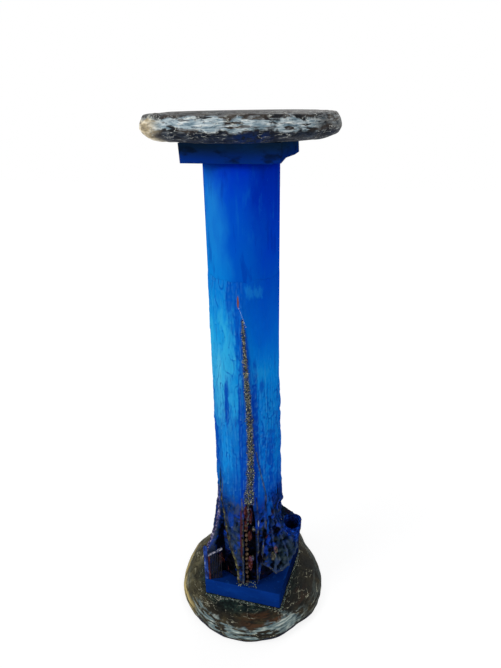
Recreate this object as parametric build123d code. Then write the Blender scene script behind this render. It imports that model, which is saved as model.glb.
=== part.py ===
from build123d import *
import math
import os
from collections import namedtuple

# A free-standing display column, about a metre tall. From the floor up it is a round slab with a
# bevelled, hand-hewn edge, a square plinth, a round shaft, a square capital and a second round slab.
# A moulded relief clothes the shaft: a thin coat with a long spire up the front, which grows into
# ribs, a niche, a slatted porch and a hanging cup at the foot. Nothing on it moves.
#
# Frame: +Z up, the origin on the shaft's axis at floor level, the niche side facing -Y.
# Angles run round the axis from the front, positive towards +X. Sizes are in millimetres.

# Shaft
shaft_diameter = 120
shaft_length = 826

# Round slab on the floor: a short undercut, an upright rim and a broad bevel up to the flat top
base_diameter = 307
base_thickness = 38
base_rim_bottom = 9
base_rim_top = 18
base_shoulder_height = 29
base_shoulder_depth = 12
base_top_bevel = 28
base_foot_bevel = 10
base_shift_x = 5
base_shift_y = 4

# Square plinth, whose right side splays outwards to the rear
plinth_side = 160
plinth_height = 41
plinth_splay = 12
plinth_shift_x = 4

# Square capital, sawn a little out of upright, with its lower right edge worn away
capital_side = 149
capital_height = 28
capital_lean = 1.5
capital_shift_x = 3
worn_edge_rise = 5.5
worn_edge_dip = 3.9
worn_edge_depth = 11

# Round slab on top: a broad bevel below, a full rim and a narrow bevel above
top_diameter = 300
top_thickness = 41
top_swell_height = 6
top_swell_depth = 7
top_rim_height = 18
top_shoulder_height = 30
top_shoulder_depth = 3
top_face_bevel = 10
top_under_bevel = 32

# Facets of both slabs, and how far the hewing leaves their outline out of true: in so many broad
# waves round the slab, so many finer and shallower ones, and a twist from one level to the next
slab_facets = 30
hewn_depth = 1.6
hewn_fine_depth = 1.1
hewn_broad_waves = 3
hewn_fine_waves = 7
hewn_twist_height = 40
base_hewn_start = 0.4
top_hewn_start = 2.1

# Two places behind the shaft where the slab on the floor bulges out of its round: the direction of
# each, how far it stands out and how far it spreads to each side, in degrees
Bulge = namedtuple("Bulge", "angle rise spread")
base_bulges = [Bulge(155, 22, 11), Bulge(-122, 12, 24)]

# Moulded relief
coat_thickness = 1.2
coat_foot_thickness = 2.6
coat_length = 652
coat_clearance = 0.1

# Ribs at the foot of the relief
hood_reach = 12
porch_fin_reach = 36
corner_fin_reach = 38
back_rib_reach = 24
veil_tip_reach = 35
veil_fold_reach = 41
cup_rib_reach = 44
cup_rib_wall = 80
skirt_hem = 25
rib_taper_power = 1.4
crest_narrowing = 0.66
surface_shares = (0.1, 0.5, 0.9)

# Spire, a long ridge that climbs the front of the coat from the niche
spire_length = 632
spire_reach = 8

# Niche and the bead strand that stands in it
niche_width = 23
niche_height = 200
niche_head_width = 13
niche_shoulder_height = 165
niche_angle = 16.5
niche_floor_gap = 0.9
bead_diameter = 8.6
bead_pitch = 12.4
bead_count = 13
bead_taper = 30
bead_facets = 8
bead_cord_diameter = 3.6
bead_clearance = 0.2

# Slatted porch beside the left fin
porch_length = 27
porch_height = 74
porch_depth = 3.2
porch_turn = 22.5
porch_step_forward = 6.3
porch_slat_count = 6
porch_slat_width = 2
porch_slat_depth = 2
porch_post_width = 3.6
porch_lintel_height = 5
porch_sill_height = 3

# Hanging cup on the right
cup_angle = 86
cup_axis_radius = 92
cup_radius = 20
cup_foot_radius = 13
cup_wall = 3
cup_depth = 42
cup_rim_height = 128
cup_shoulder_drop = 22

shaft_radius = shaft_diameter / 2
plinth_top = base_thickness + plinth_height
capital_bottom = plinth_top + shaft_length
capital_top = capital_bottom + capital_height


def at_angle(radius, degrees):
    """The x and y of a point at a radius from the shaft's axis, at an angle from the front."""
    turn = math.radians(degrees)
    return (radius * math.sin(turn), -radius * math.cos(turn))


def face_at(height, corners):
    """A flat, level face with straight sides."""
    return Pos(0, 0, height) * make_face(Polyline(*corners, close=True))


def bulge_at(bulge, angle):
    """How far a bulge of the outline stands out at an angle from the front."""
    aside = (angle - bulge.angle + 180) % 360 - 180
    return bulge.rise * math.exp(-((aside / bulge.spread) ** 2))


def hewn_slab(levels, hewn_start, bulges):
    """A slab through several levels, each a height and a radius: straight facets round a circle
    that is a little out of true, and not quite the same from one level to the next."""
    outlines = []
    for height, radius in levels:
        corners = []
        for facet in range(slab_facets):
            angle = 90 + 360 * facet / slab_facets
            turn = 2 * math.pi * facet / slab_facets
            wobble = hewn_start + height / hewn_twist_height
            reach = radius + hewn_depth * math.cos(hewn_broad_waves * turn + wobble)
            reach += hewn_fine_depth * math.cos(hewn_fine_waves * turn - 2 * wobble)
            reach += sum(bulge_at(bulge, angle) for bulge in bulges)
            corners.append(at_angle(reach, angle))
        outlines.append(face_at(height, corners))
    return loft(outlines, ruled=True)


def base_slab():
    """The slab on the floor."""
    radius = base_diameter / 2
    levels = [
        (0, radius - base_foot_bevel),
        (base_rim_bottom, radius),
        (base_rim_top, radius),
        (base_shoulder_height, radius - base_shoulder_depth),
        (base_thickness, radius - base_top_bevel),
    ]
    return Pos(base_shift_x, base_shift_y, 0) * hewn_slab(levels, base_hewn_start, base_bulges)


def top_slab():
    """The slab on top."""
    radius = top_diameter / 2
    levels = [
        (0, radius - top_under_bevel),
        (top_swell_height, radius - top_swell_depth),
        (top_rim_height, radius),
        (top_shoulder_height, radius - top_shoulder_depth),
        (top_thickness, radius - top_face_bevel),
    ]
    return Pos(0, 0, capital_top) * hewn_slab(levels, top_hewn_start, [])


def plinth_block():
    """The square block under the shaft."""
    half = plinth_side / 2
    corners = [(-half, -half), (half, -half), (half + plinth_splay, half), (-half, half)]
    return Pos(plinth_shift_x, 0, 0) * extrude(face_at(base_thickness, corners), plinth_height)


def shaft_post():
    """The round shaft between plinth and capital."""
    return extrude(Pos(0, 0, plinth_top) * Circle(shaft_radius), shaft_length)


def capital_block():
    """The square block over the shaft: a leaning square, less a wavy strip along one lower edge."""
    below = Pos(capital_lean, 0, capital_bottom) * Rectangle(capital_side, capital_side)
    above = Pos(0, 0, capital_top) * Rectangle(capital_side, capital_side)
    block = loft([below, above], ruled=True)
    half = capital_side / 2
    beyond = half + worn_edge_depth
    wear = [(-beyond, 0), (-half / 2, worn_edge_rise), (half / 2, worn_edge_dip)]
    wear += [(beyond, worn_edge_rise), (beyond, -worn_edge_rise)]
    side = Plane(origin=(half - worn_edge_depth, 0, capital_bottom), x_dir=(0, 1, 0), z_dir=(1, 0, 0))
    strip = extrude(side * make_face(Polyline(*wear, close=True)), 2 * worn_edge_depth)
    return Pos(capital_shift_x - capital_lean, 0, 0) * (block - strip)


# A rib of the relief, from its foot to where it dies into the coat. Angles are at its foot and at
# its top, and bow swings it sideways between them. It keeps its full reach out of the coat from the
# height start to the height wall, and has lost it all at the height top. Its crest is wide degrees
# across. Fill is how much of the ribs' reach the surface between this rib and the next one keeps.
Rib = namedtuple("Rib", "foot_angle top_angle bow reach start wall top wide fill")

porch_fin = Rib(-44, -52, 0, porch_fin_reach, 0, porch_height, 212, 4.4, 0)
ribs = [
    Rib(-165, -160, 0, back_rib_reach, 0, 6, 190, 6, 0.3),
    Rib(-135, -138, 0, corner_fin_reach, 0, 18, 210, 5, 0.15),
    Rib(-104, -110, 0, back_rib_reach, 0, 8, 175, 6, 0.3),
    Rib(-76, -80, 0, back_rib_reach, 0, 40, 200, 6, 0.35),
    porch_fin,
    Rib(-4, -32, 0, hood_reach, 0, 185, 250, 3.2, 0.85),
    Rib(4.5, 2.5, 0, hood_reach, 0, niche_height, 262, 2.8, 0.95),
    Rib(niche_angle, 8, 10, spire_reach, 0, niche_height, spire_length, 9, 0.95),
    Rib(29, 33, 0, hood_reach, 0, niche_height, 262, 2.8, 0.7),
    Rib(37, 47, 0, hood_reach + 4, 0, 60, 270, 3.6, 0.9),
    Rib(54, 58, 0, veil_tip_reach, skirt_hem, skirt_hem, 225, 8, 0.95),
    Rib(70, 70, 0, veil_fold_reach, skirt_hem + 8, skirt_hem + 8, 190, 8, 0.9),
    Rib(cup_angle, cup_angle, 0, cup_rib_reach, skirt_hem + 23, cup_rib_wall, cup_rim_height, 16, 0.6),
    Rib(112, 106, 0, back_rib_reach, 14, 24, 180, 8, 0.3),
    Rib(137, 134, 0, corner_fin_reach, 0, 14, 205, 5, 0.2),
    Rib(166, 170, 0, back_rib_reach, 0, 8, 180, 6, 0.25),
]

relief_levels = [0, 14, skirt_hem, 34, 50, porch_height, 98, cup_rim_height, 156, 186]
relief_levels += [niche_height + 14, 240, 266, 330, 410, 490, 570, spire_length, coat_length]


def rib_reach(rib, height):
    """How far a rib stands out of the coat at a height above the plinth."""
    if height < rib.start or height >= rib.top:
        return 0
    if height <= rib.wall:
        return rib.reach
    return rib.reach * (1 - (height - rib.wall) / (rib.top - rib.wall)) ** rib_taper_power


def rib_angle(rib, height):
    """A rib's angle at a height above the plinth."""
    share = min(1, height / rib.top)
    return rib.foot_angle + share * (rib.top_angle - rib.foot_angle) + 4 * rib.bow * share * (1 - share)


def rib_width(rib, height):
    """How many degrees a rib's crest is across: it narrows to a third at its top."""
    return rib.wide * (1 - crest_narrowing * min(1, height / rib.top))


def coat_radius(height):
    """Outer radius of the plain coat at a height above the plinth: thicker towards the foot."""
    share = min(1, height / niche_height)
    return shaft_radius + coat_foot_thickness + share * (coat_thickness - coat_foot_thickness)


def relief_outline(height):
    """One level of the relief: each rib's crest, its two flanks and the surface up to the next."""
    bed = coat_radius(height)
    corners = []
    for rib, after in zip(ribs, ribs[1:] + ribs[:1]):
        angle = rib_angle(rib, height)
        half = rib_width(rib, height) / 2
        reach = rib_reach(rib, height)
        next_reach = rib_reach(after, height)
        first = angle + half
        span = (rib_angle(after, height) - angle) % 360 - half - rib_width(after, height) / 2
        corners.append(at_angle(bed + reach, angle - half))
        corners.append(at_angle(bed + reach, angle + half))
        for share in surface_shares:
            surface = rib.fill * (reach + share * (next_reach - reach))
            corners.append(at_angle(bed + surface, first + share * span))
    return face_at(plinth_top + height, corners)


def niche_plane():
    """A plane on the niche's floor: X to its right, Y up from the plinth, Z out of the niche."""
    turn = math.radians(niche_angle)
    floor_radius = shaft_radius + coat_foot_thickness + niche_floor_gap
    origin = (*at_angle(floor_radius, niche_angle), plinth_top)
    right = (math.cos(turn), math.sin(turn), 0)
    outward = (math.sin(turn), -math.cos(turn), 0)
    return Plane(origin=origin, x_dir=right, z_dir=outward)


def niche_cut():
    """The hollow of the niche: upright sides that draw in to a round head."""
    half = niche_width / 2
    head = niche_head_width / 2
    spring = niche_height - head
    left = Polyline((-head, spring), (-half, niche_shoulder_height), (-half, 0))
    right = Polyline((half, 0), (half, niche_shoulder_height), (head, spring))
    sill = Line((-half, 0), (half, 0))
    arch = ThreePointArc((-head, spring), (0, niche_height), (head, spring))
    return extrude(niche_plane() * make_face(left + sill + right + arch), 2 * hood_reach)


def cup_form(inset, top):
    """The cup's tapered form, less an inset on its side and foot, up to a height above the plinth."""
    bottom = cup_rim_height - cup_depth - cup_wall + inset
    shoulder = cup_rim_height - cup_shoulder_drop
    side = cup_radius - inset
    profile = [(0, bottom), (cup_foot_radius - inset, bottom), (side, shoulder), (side, top), (0, top)]
    bowl = revolve(Plane.XZ * make_face(Polyline(*profile, close=True)), Axis.Z)
    return Pos(*at_angle(cup_axis_radius, cup_angle), plinth_top) * bowl


def moulded_relief():
    """The coat with all its ribs in one skin, round the shaft, with the niche and the cup's hollow."""
    body = loft([relief_outline(height) for height in relief_levels], ruled=True)
    body += cup_form(0, cup_rim_height)
    bore = extrude(Pos(0, 0, plinth_top) * Circle(shaft_radius + coat_clearance), coat_length)
    body -= bore
    body -= niche_cut()
    body -= cup_form(cup_wall, cup_rim_height + cup_depth)
    return body


def bead_strand():
    """The beads in the niche, one above the other on a cord, standing against its left side. Each
    has flat facets that taper from its middle to both ends."""
    radius = bead_diameter / 2
    strand = extrude(RegularPolygon(bead_cord_diameter / 2, bead_facets), bead_count * bead_pitch)
    for bead in range(bead_count):
        girdle = Pos(0, 0, (bead + 0.5) * bead_pitch) * RegularPolygon(radius, bead_facets)
        strand += extrude(girdle, radius, both=True, taper=bead_taper)
    side = -niche_width / 2 + radius + bead_clearance
    place = niche_plane().from_local_coords((side, 0, radius + bead_clearance))
    return Pos(place.X, place.Y, place.Z) * strand


def porch_bar(across, width, depth, bottom, top):
    """One upright or level bar of the screen, with its middle at a distance across the screen."""
    corner = (Align.CENTER, Align.CENTER, Align.MIN)
    return Pos(across, porch_depth / 2, bottom) * Box(width, depth, top - bottom, align=corner)


def porch_screen():
    """The slatted screen: a post at each end, slats between them, a sill and a lintel."""
    middle = porch_length / 2
    inner = porch_length - 2 * porch_post_width
    screen = porch_bar(middle, porch_length, porch_depth, 0, porch_sill_height)
    screen += porch_bar(middle, porch_length, porch_depth, porch_height - porch_lintel_height, porch_height)
    for end in (porch_post_width / 2, porch_length - porch_post_width / 2):
        screen += porch_bar(end, porch_post_width, porch_depth, 0, porch_height)
    for slat in range(porch_slat_count):
        across = porch_post_width + (slat + 0.5) * inner / porch_slat_count
        screen += porch_bar(across, porch_slat_width, porch_slat_depth, 0, porch_height)
    return screen


def porch_grille():
    """The screen in its place, from the outer end of the left fin towards the shaft."""
    corner = at_angle(coat_radius(0) + porch_fin.reach, porch_fin.foot_angle + porch_fin.wide / 2)
    return Pos(corner[0], corner[1] - porch_step_forward, plinth_top) * Rot(0, 0, porch_turn) * porch_screen()


os.makedirs("parts", exist_ok=True)
export_step(base_slab(), "parts/base_disc.step")
export_step(plinth_block(), "parts/plinth.step")
export_step(shaft_post(), "parts/shaft.step")
export_step(moulded_relief(), "parts/relief.step")
export_step(bead_strand(), "parts/bead_string.step")
export_step(porch_grille(), "parts/porch_grille.step")
export_step(capital_block(), "parts/capital_block.step")
export_step(top_slab(), "parts/top_disc.step")
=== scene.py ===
import functools
import math

import bpy
import numpy as np
from mathutils import Matrix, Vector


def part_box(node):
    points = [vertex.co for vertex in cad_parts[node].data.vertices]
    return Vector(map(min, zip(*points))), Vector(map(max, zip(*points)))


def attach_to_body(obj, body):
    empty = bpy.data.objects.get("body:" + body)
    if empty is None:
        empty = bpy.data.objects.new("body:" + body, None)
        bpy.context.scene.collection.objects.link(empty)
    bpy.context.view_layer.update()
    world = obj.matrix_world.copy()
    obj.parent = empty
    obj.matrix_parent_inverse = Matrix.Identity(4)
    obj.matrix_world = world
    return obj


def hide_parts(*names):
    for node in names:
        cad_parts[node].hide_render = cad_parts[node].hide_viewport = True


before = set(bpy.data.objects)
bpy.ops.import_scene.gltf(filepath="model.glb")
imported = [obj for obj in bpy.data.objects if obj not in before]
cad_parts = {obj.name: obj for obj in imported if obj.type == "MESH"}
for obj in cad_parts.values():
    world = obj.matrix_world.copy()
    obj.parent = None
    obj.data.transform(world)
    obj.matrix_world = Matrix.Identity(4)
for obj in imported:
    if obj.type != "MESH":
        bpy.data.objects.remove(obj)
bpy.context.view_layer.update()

# The camera. It stands in front of the column, a little to its right and level with its top, and
# looks down at it with a wide lens, so the foot looks much smaller than the top.
camera_place = (0.2239, -0.8035, 0.9796)
camera_down = 23.9
camera_turn = 14.9
camera_roll = -0.94
camera_lens = 27.76


def show(name, data):
    """Puts a mesh, a lamp or a camera in the scene, as an object of that name."""
    thing = bpy.data.objects.new(name, data)
    bpy.context.scene.collection.objects.link(thing)
    return thing


camera = show("camera", bpy.data.cameras.new("camera"))
camera.data.lens = camera_lens
camera.data.sensor_fit = "VERTICAL"
camera.data.sensor_height = 36
aim = Matrix.Rotation(math.radians(camera_turn), 4, "Z")
aim = aim @ Matrix.Rotation(math.radians(90 - camera_down), 4, "X")
aim = aim @ Matrix.Rotation(math.radians(camera_roll), 4, "Z")
camera.matrix_world = Matrix.Translation(camera_place) @ aim
bpy.context.scene.camera = camera


# The slab on the floor. It is a round of board about 300 mm across, hewn by hand round its edge and
# filled, then painted in olive brown, with silver and gold rubbed over the bevel. Its left side is
# painted paler as painted light and its far right darker as painted shade; the silver, stronger at
# the front, and the gold, on the left, are laid as painted highlights; the dark navy round the lower
# rim and the green-black next to the plinth are painted shade.
# Lengths in this file are in metres, and angles run from the front, -Y, towards +X, in degrees.
base_low, base_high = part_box("base_disc")
base_middle = (0.005, 0.004)
base_radius = 0.1532
base_top = base_high[2]
slab_facets = 420
slab_step = 0.0022
base_bulges = [(155, 0.021, 11), (-122, 0.011, 24), (52, -0.006, 13)]


def lumps(points, size, seed):
    """Smooth unevenness between -1 and 1 at each point, with bumps about one size across."""
    scaled = points / size
    cell = np.floor(scaled)
    share = scaled - cell
    share = share * share * (3 - 2 * share)
    cell = cell.astype(np.int64)
    total = np.zeros(points.shape[:-1])
    for corner in np.ndindex(2, 2, 2):
        step = np.array(corner)
        key = ((cell + step) @ np.array([73856093, 19349663, 83492791]) + seed * 7919) & 0xFFFFFFFF
        key = ((key ^ (key >> 13)) * 1274126177) & 0xFFFFFFFF
        value = ((key ^ (key >> 16)) & 0xFFFF) / 32767.5 - 1
        total += value * np.prod(np.where(step, share, 1 - share), axis=-1)
    return total


def rise(value, start, run):
    """0 up to start, then straight up to 1 over a run."""
    return np.clip((value - start) / run, 0, 1)


def fall(value, end, run):
    """1 at first, then straight down over a run to 0 at the end."""
    return np.clip((end - value) / run, 0, 1)


def lathe(profile, around, uneven):
    """Points and faces of a slab with that outline, a list of (radius, height) from the middle of
    its underside to the middle of its top, pushed outwards by uneven(points)."""
    profile = np.array(profile)
    turn = np.linspace(0, 2 * np.pi, around, endpoint=False)
    rings = np.empty((len(profile), around, 3))
    rings[..., 0] = profile[:, :1] * np.cos(turn)
    rings[..., 1] = profile[:, :1] * np.sin(turn)
    rings[..., 2] = profile[:, 1:]
    along = np.gradient(profile, axis=0)
    outward = np.stack([along[:, 1], -along[:, 0]], axis=1)
    outward /= np.linalg.norm(outward, axis=1, keepdims=True)
    push = uneven(rings)
    rings[..., 0] += push * outward[:, :1] * np.cos(turn)
    rings[..., 1] += push * outward[:, :1] * np.sin(turn)
    rings[..., 2] += push * outward[:, 1:]
    return closed_skin(rings)


def closed_skin(rings):
    """Points and faces of a closed skin through rings of points that run anticlockwise, from the
    bottom up. A middle point closes each end."""
    levels, around = rings.shape[:2]
    index = np.arange(levels * around).reshape(levels, around)
    after = np.roll(index, -1, axis=1)
    walls = np.stack([index[:-1], after[:-1], after[1:], index[1:]], axis=-1).reshape(-1, 4)
    points = np.concatenate([rings.reshape(-1, 3), rings[:1].mean(axis=1), rings[-1:].mean(axis=1)])
    bottom = np.full(around, levels * around)
    lower_cap = np.stack([bottom, after[0], index[0]], axis=-1)
    upper_cap = np.stack([bottom + 1, index[-1], after[-1]], axis=-1)
    return points, walls.tolist() + lower_cap.tolist() + upper_cap.tolist()


def smooth_line(corners, step):
    """Evenly spaced points along a line through corners, for an outline with its bends rounded."""
    corners = np.array(corners)
    for _ in range(2):
        middles = corners[:-1] * 0.75 + corners[1:] * 0.25, corners[:-1] * 0.25 + corners[1:] * 0.75
        corners = np.concatenate([corners[:1], np.stack(middles, axis=1).reshape(-1, 2), corners[-1:]])
    length = np.concatenate([[0], np.cumsum(np.linalg.norm(np.diff(corners, axis=0), axis=1))])
    places = np.linspace(0, length[-1], int(length[-1] / step) + 2)
    return np.stack([np.interp(places, length, column) for column in corners.T], axis=1)


def attach(piece, node=None):
    """Ties a piece to the frame, in place of a node if one is named."""
    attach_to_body(piece, "root")
    if node:
        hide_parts(node)


def set_piece(name, points, faces, node, finish, shades=None):
    """Makes a piece of mesh that stands for a node of the frame, with its finish. Shades are named
    numbers, one for each point, that the finish reads."""
    mesh = bpy.data.meshes.new(name)
    mesh.from_pydata(points.tolist() if isinstance(points, np.ndarray) else points, [], faces)
    mesh.shade_smooth()
    for shade, values in (shades or {}).items():
        layer = mesh.attributes.new(shade, "FLOAT", "POINT")
        layer.data.foreach_set("value", np.ascontiguousarray(values, dtype=np.float32))
    mesh.materials.append(finish)
    piece = show(name, mesh)
    attach(piece, node)
    return piece


def tint(code, strength=1.0):
    """A colour written as six hexadecimal digits, as the shaders want it."""
    parts = [int(code[i:i + 2], 16) / 255 for i in (0, 2, 4)]
    linear = [c / 12.92 if c <= 0.04045 else ((c + 0.055) / 1.055) ** 2.4 for c in parts]
    return (*[c * strength for c in linear], 1)


def add_node(tree, kind, sockets, **settings):
    """Adds a node to a tree, with its settings, and with values or other sockets for its own."""
    node = tree.nodes.new(kind)
    for setting, value in settings.items():
        setattr(node, setting, value)
    for socket, value in sockets.items():
        if isinstance(value, bpy.types.NodeSocket):
            tree.links.new(value, node.inputs[socket])
        else:
            node.inputs[socket].default_value = value
    return node


class Finish:
    """A painted finish, built up in layers over the piece's own coordinates."""

    def __init__(self, name, roughness, gloss):
        self.material = bpy.data.materials.new(name)
        self.material.use_nodes = True
        self.tree = self.material.node_tree
        self.shader = self.tree.nodes["Principled BSDF"]
        self.shader.inputs["Roughness"].default_value = roughness
        self.shader.inputs["Specular IOR Level"].default_value = gloss
        self.place = self.add("TexCoord", {}).outputs["Object"]
        apart = self.add("SeparateXYZ", {0: self.place})
        self.x, self.y, self.height = apart.outputs

    def add(self, kind, sockets, **settings):
        return add_node(self.tree, "ShaderNode" + kind, sockets, **settings)

    def sum(self, operation, first, second=0.0):
        return self.add("Math", {0: first, 1: second}, operation=operation).outputs[0]

    def times(self, first, *others):
        """The product of masks, noises and numbers."""
        for other in others:
            first = self.sum("MULTIPLY", first, other)
        return first

    def plus(self, first, second):
        return self.sum("ADD", first, second)

    def less(self, first, second):
        return self.sum("SUBTRACT", first, second)

    def angle(self):
        """Radians round the axis, from -Y towards +X."""
        return self.sum("ARCTAN2", self.x, self.times(self.y, -1.0))

    def side(self):
        """-1 on the far left of the column, 0 at the front and the back, 1 on the far right."""
        return self.sum("DIVIDE", self.x, self.reach())

    def patch(self, degrees, height, wide, tall, ragged=0.5):
        """A ragged patch of paint on the front half, so many degrees wide and metres tall."""
        across = self.less(self.angle(), math.radians(degrees))
        across = self.sum("DIVIDE", across, math.radians(wide) / 2)
        up = self.sum("DIVIDE", self.less(self.height, height), tall / 2)
        away = self.sum("SQRT", self.plus(self.sum("POWER", across, 2.0), self.sum("POWER", up, 2.0)))
        torn = self.less(self.cloud(0.009, detail=5.0, stretch=(1, 1, 2.5), shift=degrees), 0.5)
        away = self.plus(away, self.times(torn, 3.2 * ragged))
        return self.between(away, 1.05 + 0.15 * ragged, 0.80 - 0.35 * ragged)

    def reach(self):
        """Distance from the axis."""
        return self.sum("SQRT", self.plus(self.sum("POWER", self.x, 2.0), self.sum("POWER", self.y, 2.0)))

    def cloud(self, size, detail=4.0, stretch=(1, 1, 1), shift=0.0, rough=0.55):
        """Noise from 0 to 1, with blotches about one size across, longer where stretch is more."""
        scale = tuple(1 / (size * s) for s in stretch)
        moved = self.add("Mapping", {"Vector": self.place, "Scale": scale, "Location": (shift, shift, shift)})
        sockets = {"Vector": moved.outputs[0], "Scale": 1.0, "Detail": detail, "Roughness": rough}
        return self.add("TexNoise", sockets).outputs[0]

    def streak(self, long, wide, detail=4.0, shift=0.0):
        """Noise in streaks that run round the axis, long by wide."""
        reach = self.reach()
        around = self.sum("DIVIDE", self.x, reach)
        across = self.sum("DIVIDE", self.y, reach)
        turns = 0.15 / long
        vector = self.add("CombineXYZ", {0: self.times(around, turns), 1: self.times(across, turns),
                                         2: self.sum("DIVIDE", self.height, wide)}).outputs[0]
        depth = self.plus(self.sum("DIVIDE", reach, wide), shift)
        sockets = {"Vector": vector, "W": depth, "Scale": 1.0, "Detail": detail}
        return self.add("TexNoise", sockets, noise_dimensions="4D").outputs[0]

    def between(self, value, low, high):
        """0 below low, 1 above high and smooth between them. Low may be the larger."""
        sockets = {"Value": value, "From Min": low, "From Max": high}
        return self.add("MapRange", sockets, interpolation_type="SMOOTHSTEP").outputs[0]

    def band(self, value, low, high, soft):
        """1 between low and high, 0 outside them."""
        up = self.between(value, low - soft, low + soft)
        down = self.between(value, high + soft, high - soft)
        return self.times(up, down)

    def ramp(self, value, stops):
        """Colours at places along a value."""
        node = self.add("ValToRGB", {0: value})
        node.color_ramp.elements[0].position = stops[0][0]
        node.color_ramp.elements[0].color = tint(stops[0][1])
        node.color_ramp.elements[1].position = stops[-1][0]
        node.color_ramp.elements[1].color = tint(stops[-1][1])
        for position, code in stops[1:-1]:
            node.color_ramp.elements.new(position).color = tint(code)
        return node.outputs[0]

    def over(self, below, above, *masks):
        """One colour over another where all the masks are 1."""
        below = tint(below) if isinstance(below, str) else below
        above = tint(above) if isinstance(above, str) else above
        return self.add("Mix", {0: self.times(*masks), 6: below, 7: above}, data_type="RGBA").outputs[2]

    def coat(self, above, *masks):
        """Lays one more colour over the paint, where all the masks are 1."""
        self.colour = self.over(self.colour, above, *masks)

    def lines(self, value, width):
        """Thin lines where noise passes its middle."""
        away = self.sum("ABSOLUTE", self.less(value, 0.5))
        return self.between(away, width, 0.0)

    def shade(self, name):
        return self.add("Attribute", {}, attribute_name=name).outputs["Fac"]

    def close(self, height, depth):
        """Gives the shader its colour and its relief, up to depth metres deep."""
        self.tree.links.new(self.colour, self.shader.inputs["Base Color"])
        bump = self.add("Bump", {"Height": height, "Distance": depth, "Strength": 1.0})
        self.tree.links.new(bump.outputs[0], self.shader.inputs["Normal"])
        return self.material


def base_hewing(rings):
    """The slab's edge is out of true in long waves and in short facets; its top is nearly level."""
    edge = rise(np.hypot(rings[..., 0], rings[..., 1]), 0.118, 0.02)
    slow = 0.0016 * lumps(rings, 0.07, 1) + 0.0011 * lumps(rings, 0.028, 2)
    rough = slow + 0.0006 * lumps(rings, 0.011, 3)
    return edge * rough - 0.0011 * edge + 0.0002 * lumps(rings, 0.02, 4)


def base_finish():
    paint = Finish("base_paint", 0.55, 0.08)
    angle = paint.angle()
    brown = paint.ramp(paint.cloud(0.03, detail=6.0), [
        (0.3, "121512"), (0.42, "211f1a"), (0.52, "2f2b20"), (0.62, "423b2a"), (0.75, "5c5540")])
    # The left side is painted paler: painted light, on the side the light comes from.
    left = paint.between(angle, -0.2, -1.2)
    pale = paint.ramp(paint.cloud(0.02, detail=6.0), [(0.3, "2e2c20"), (0.55, "4d4935"), (0.7, "6d6850")])
    paint.colour = paint.over(brown, pale, left, 0.9)
    # Next to the plinth the slab is painted darker and green-black: painted shade in the corner by the
    # plinth.
    by_plinth = paint.between(paint.reach(), 0.120, 0.100)
    green = paint.ramp(paint.cloud(0.008, detail=5.0), [(0.35, "0b1112"), (0.52, "1d2a26"), (0.7, "35453c")])
    paint.coat(green, by_plinth)
    warm = paint.times(paint.band(angle, 0.15, 1.5, 0.2), paint.band(paint.reach(), 0.108, 0.138, 0.006))
    rust = paint.between(paint.streak(0.05, 0.008), 0.42, 0.55)
    paint.coat("4a3220", warm, rust, 0.8)
    # The far right side is painted darker: painted shade on the side away from the light.
    far_right = paint.times(paint.between(angle, 0.65, 1.0), paint.between(paint.height, 0.022, 0.03))
    paint.coat("191b1a", far_right, 0.6)
    dark_fold = paint.lines(paint.streak(0.06, 0.018, detail=3.0, shift=9.0), 0.03)
    paint.coat("0c0d0c", dark_fold, 0.7)
    scratch = paint.lines(paint.streak(0.045, 0.012, detail=4.0), 0.010)
    rubbed = paint.between(paint.cloud(0.02, shift=4.0), 0.46, 0.58)
    paint.coat("b5b39c", scratch, rubbed)
    wave = paint.times(paint.less(paint.cloud(0.03, detail=5.0, shift=2.0), 0.5), 0.022)
    # Silver rubbed over the bevel; its strength at the front and the patch at the front right are painted
    # highlight, where the light falls.
    bevel = paint.band(paint.plus(paint.height, wave), 0.017, 0.0305, 0.002)
    rub = paint.between(paint.streak(0.035, 0.005, detail=7.0), 0.45, 0.53)
    front = paint.plus(paint.times(paint.band(angle, -0.75, 1.0, 0.25), 0.85), 0.15)
    silver = paint.ramp(paint.streak(0.02, 0.003, detail=6.0, shift=7.0), [
        (0.3, "37474e"), (0.45, "5d7074"), (0.58, "8d9b98"), (0.72, "cfd6cd")])
    paint.coat(silver, bevel, rub, front)
    paint.coat(silver, paint.patch(47.0, 0.024, 22.0, 0.02), 0.8)
    # Gold on the left of the bevel: gold paint laid as a painted highlight on the side the light comes from.
    gold = paint.times(paint.band(angle, -1.9, -0.75, 0.15), paint.band(paint.height, 0.013, 0.024, 0.003))
    gold_streaks = paint.between(paint.streak(0.03, 0.004, detail=6.0, shift=3.0), 0.42, 0.52)
    paint.coat("b9a66e", gold, gold_streaks)
    # The lower rim is painted dark navy all round: painted shade under the slab's edge.
    rim = paint.between(paint.plus(paint.height, wave), 0.015, 0.012)
    navy = paint.ramp(paint.streak(0.04, 0.005, shift=5.0),
                      [(0.35, "070c1a"), (0.55, "121c33"), (0.68, "39424a")])
    paint.coat(navy, rim)
    bumps = paint.plus(paint.streak(0.035, 0.005, detail=7.0),
                       paint.times(paint.cloud(0.005, detail=6.0), 0.7))
    return paint.close(bumps, 0.0022)


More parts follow.
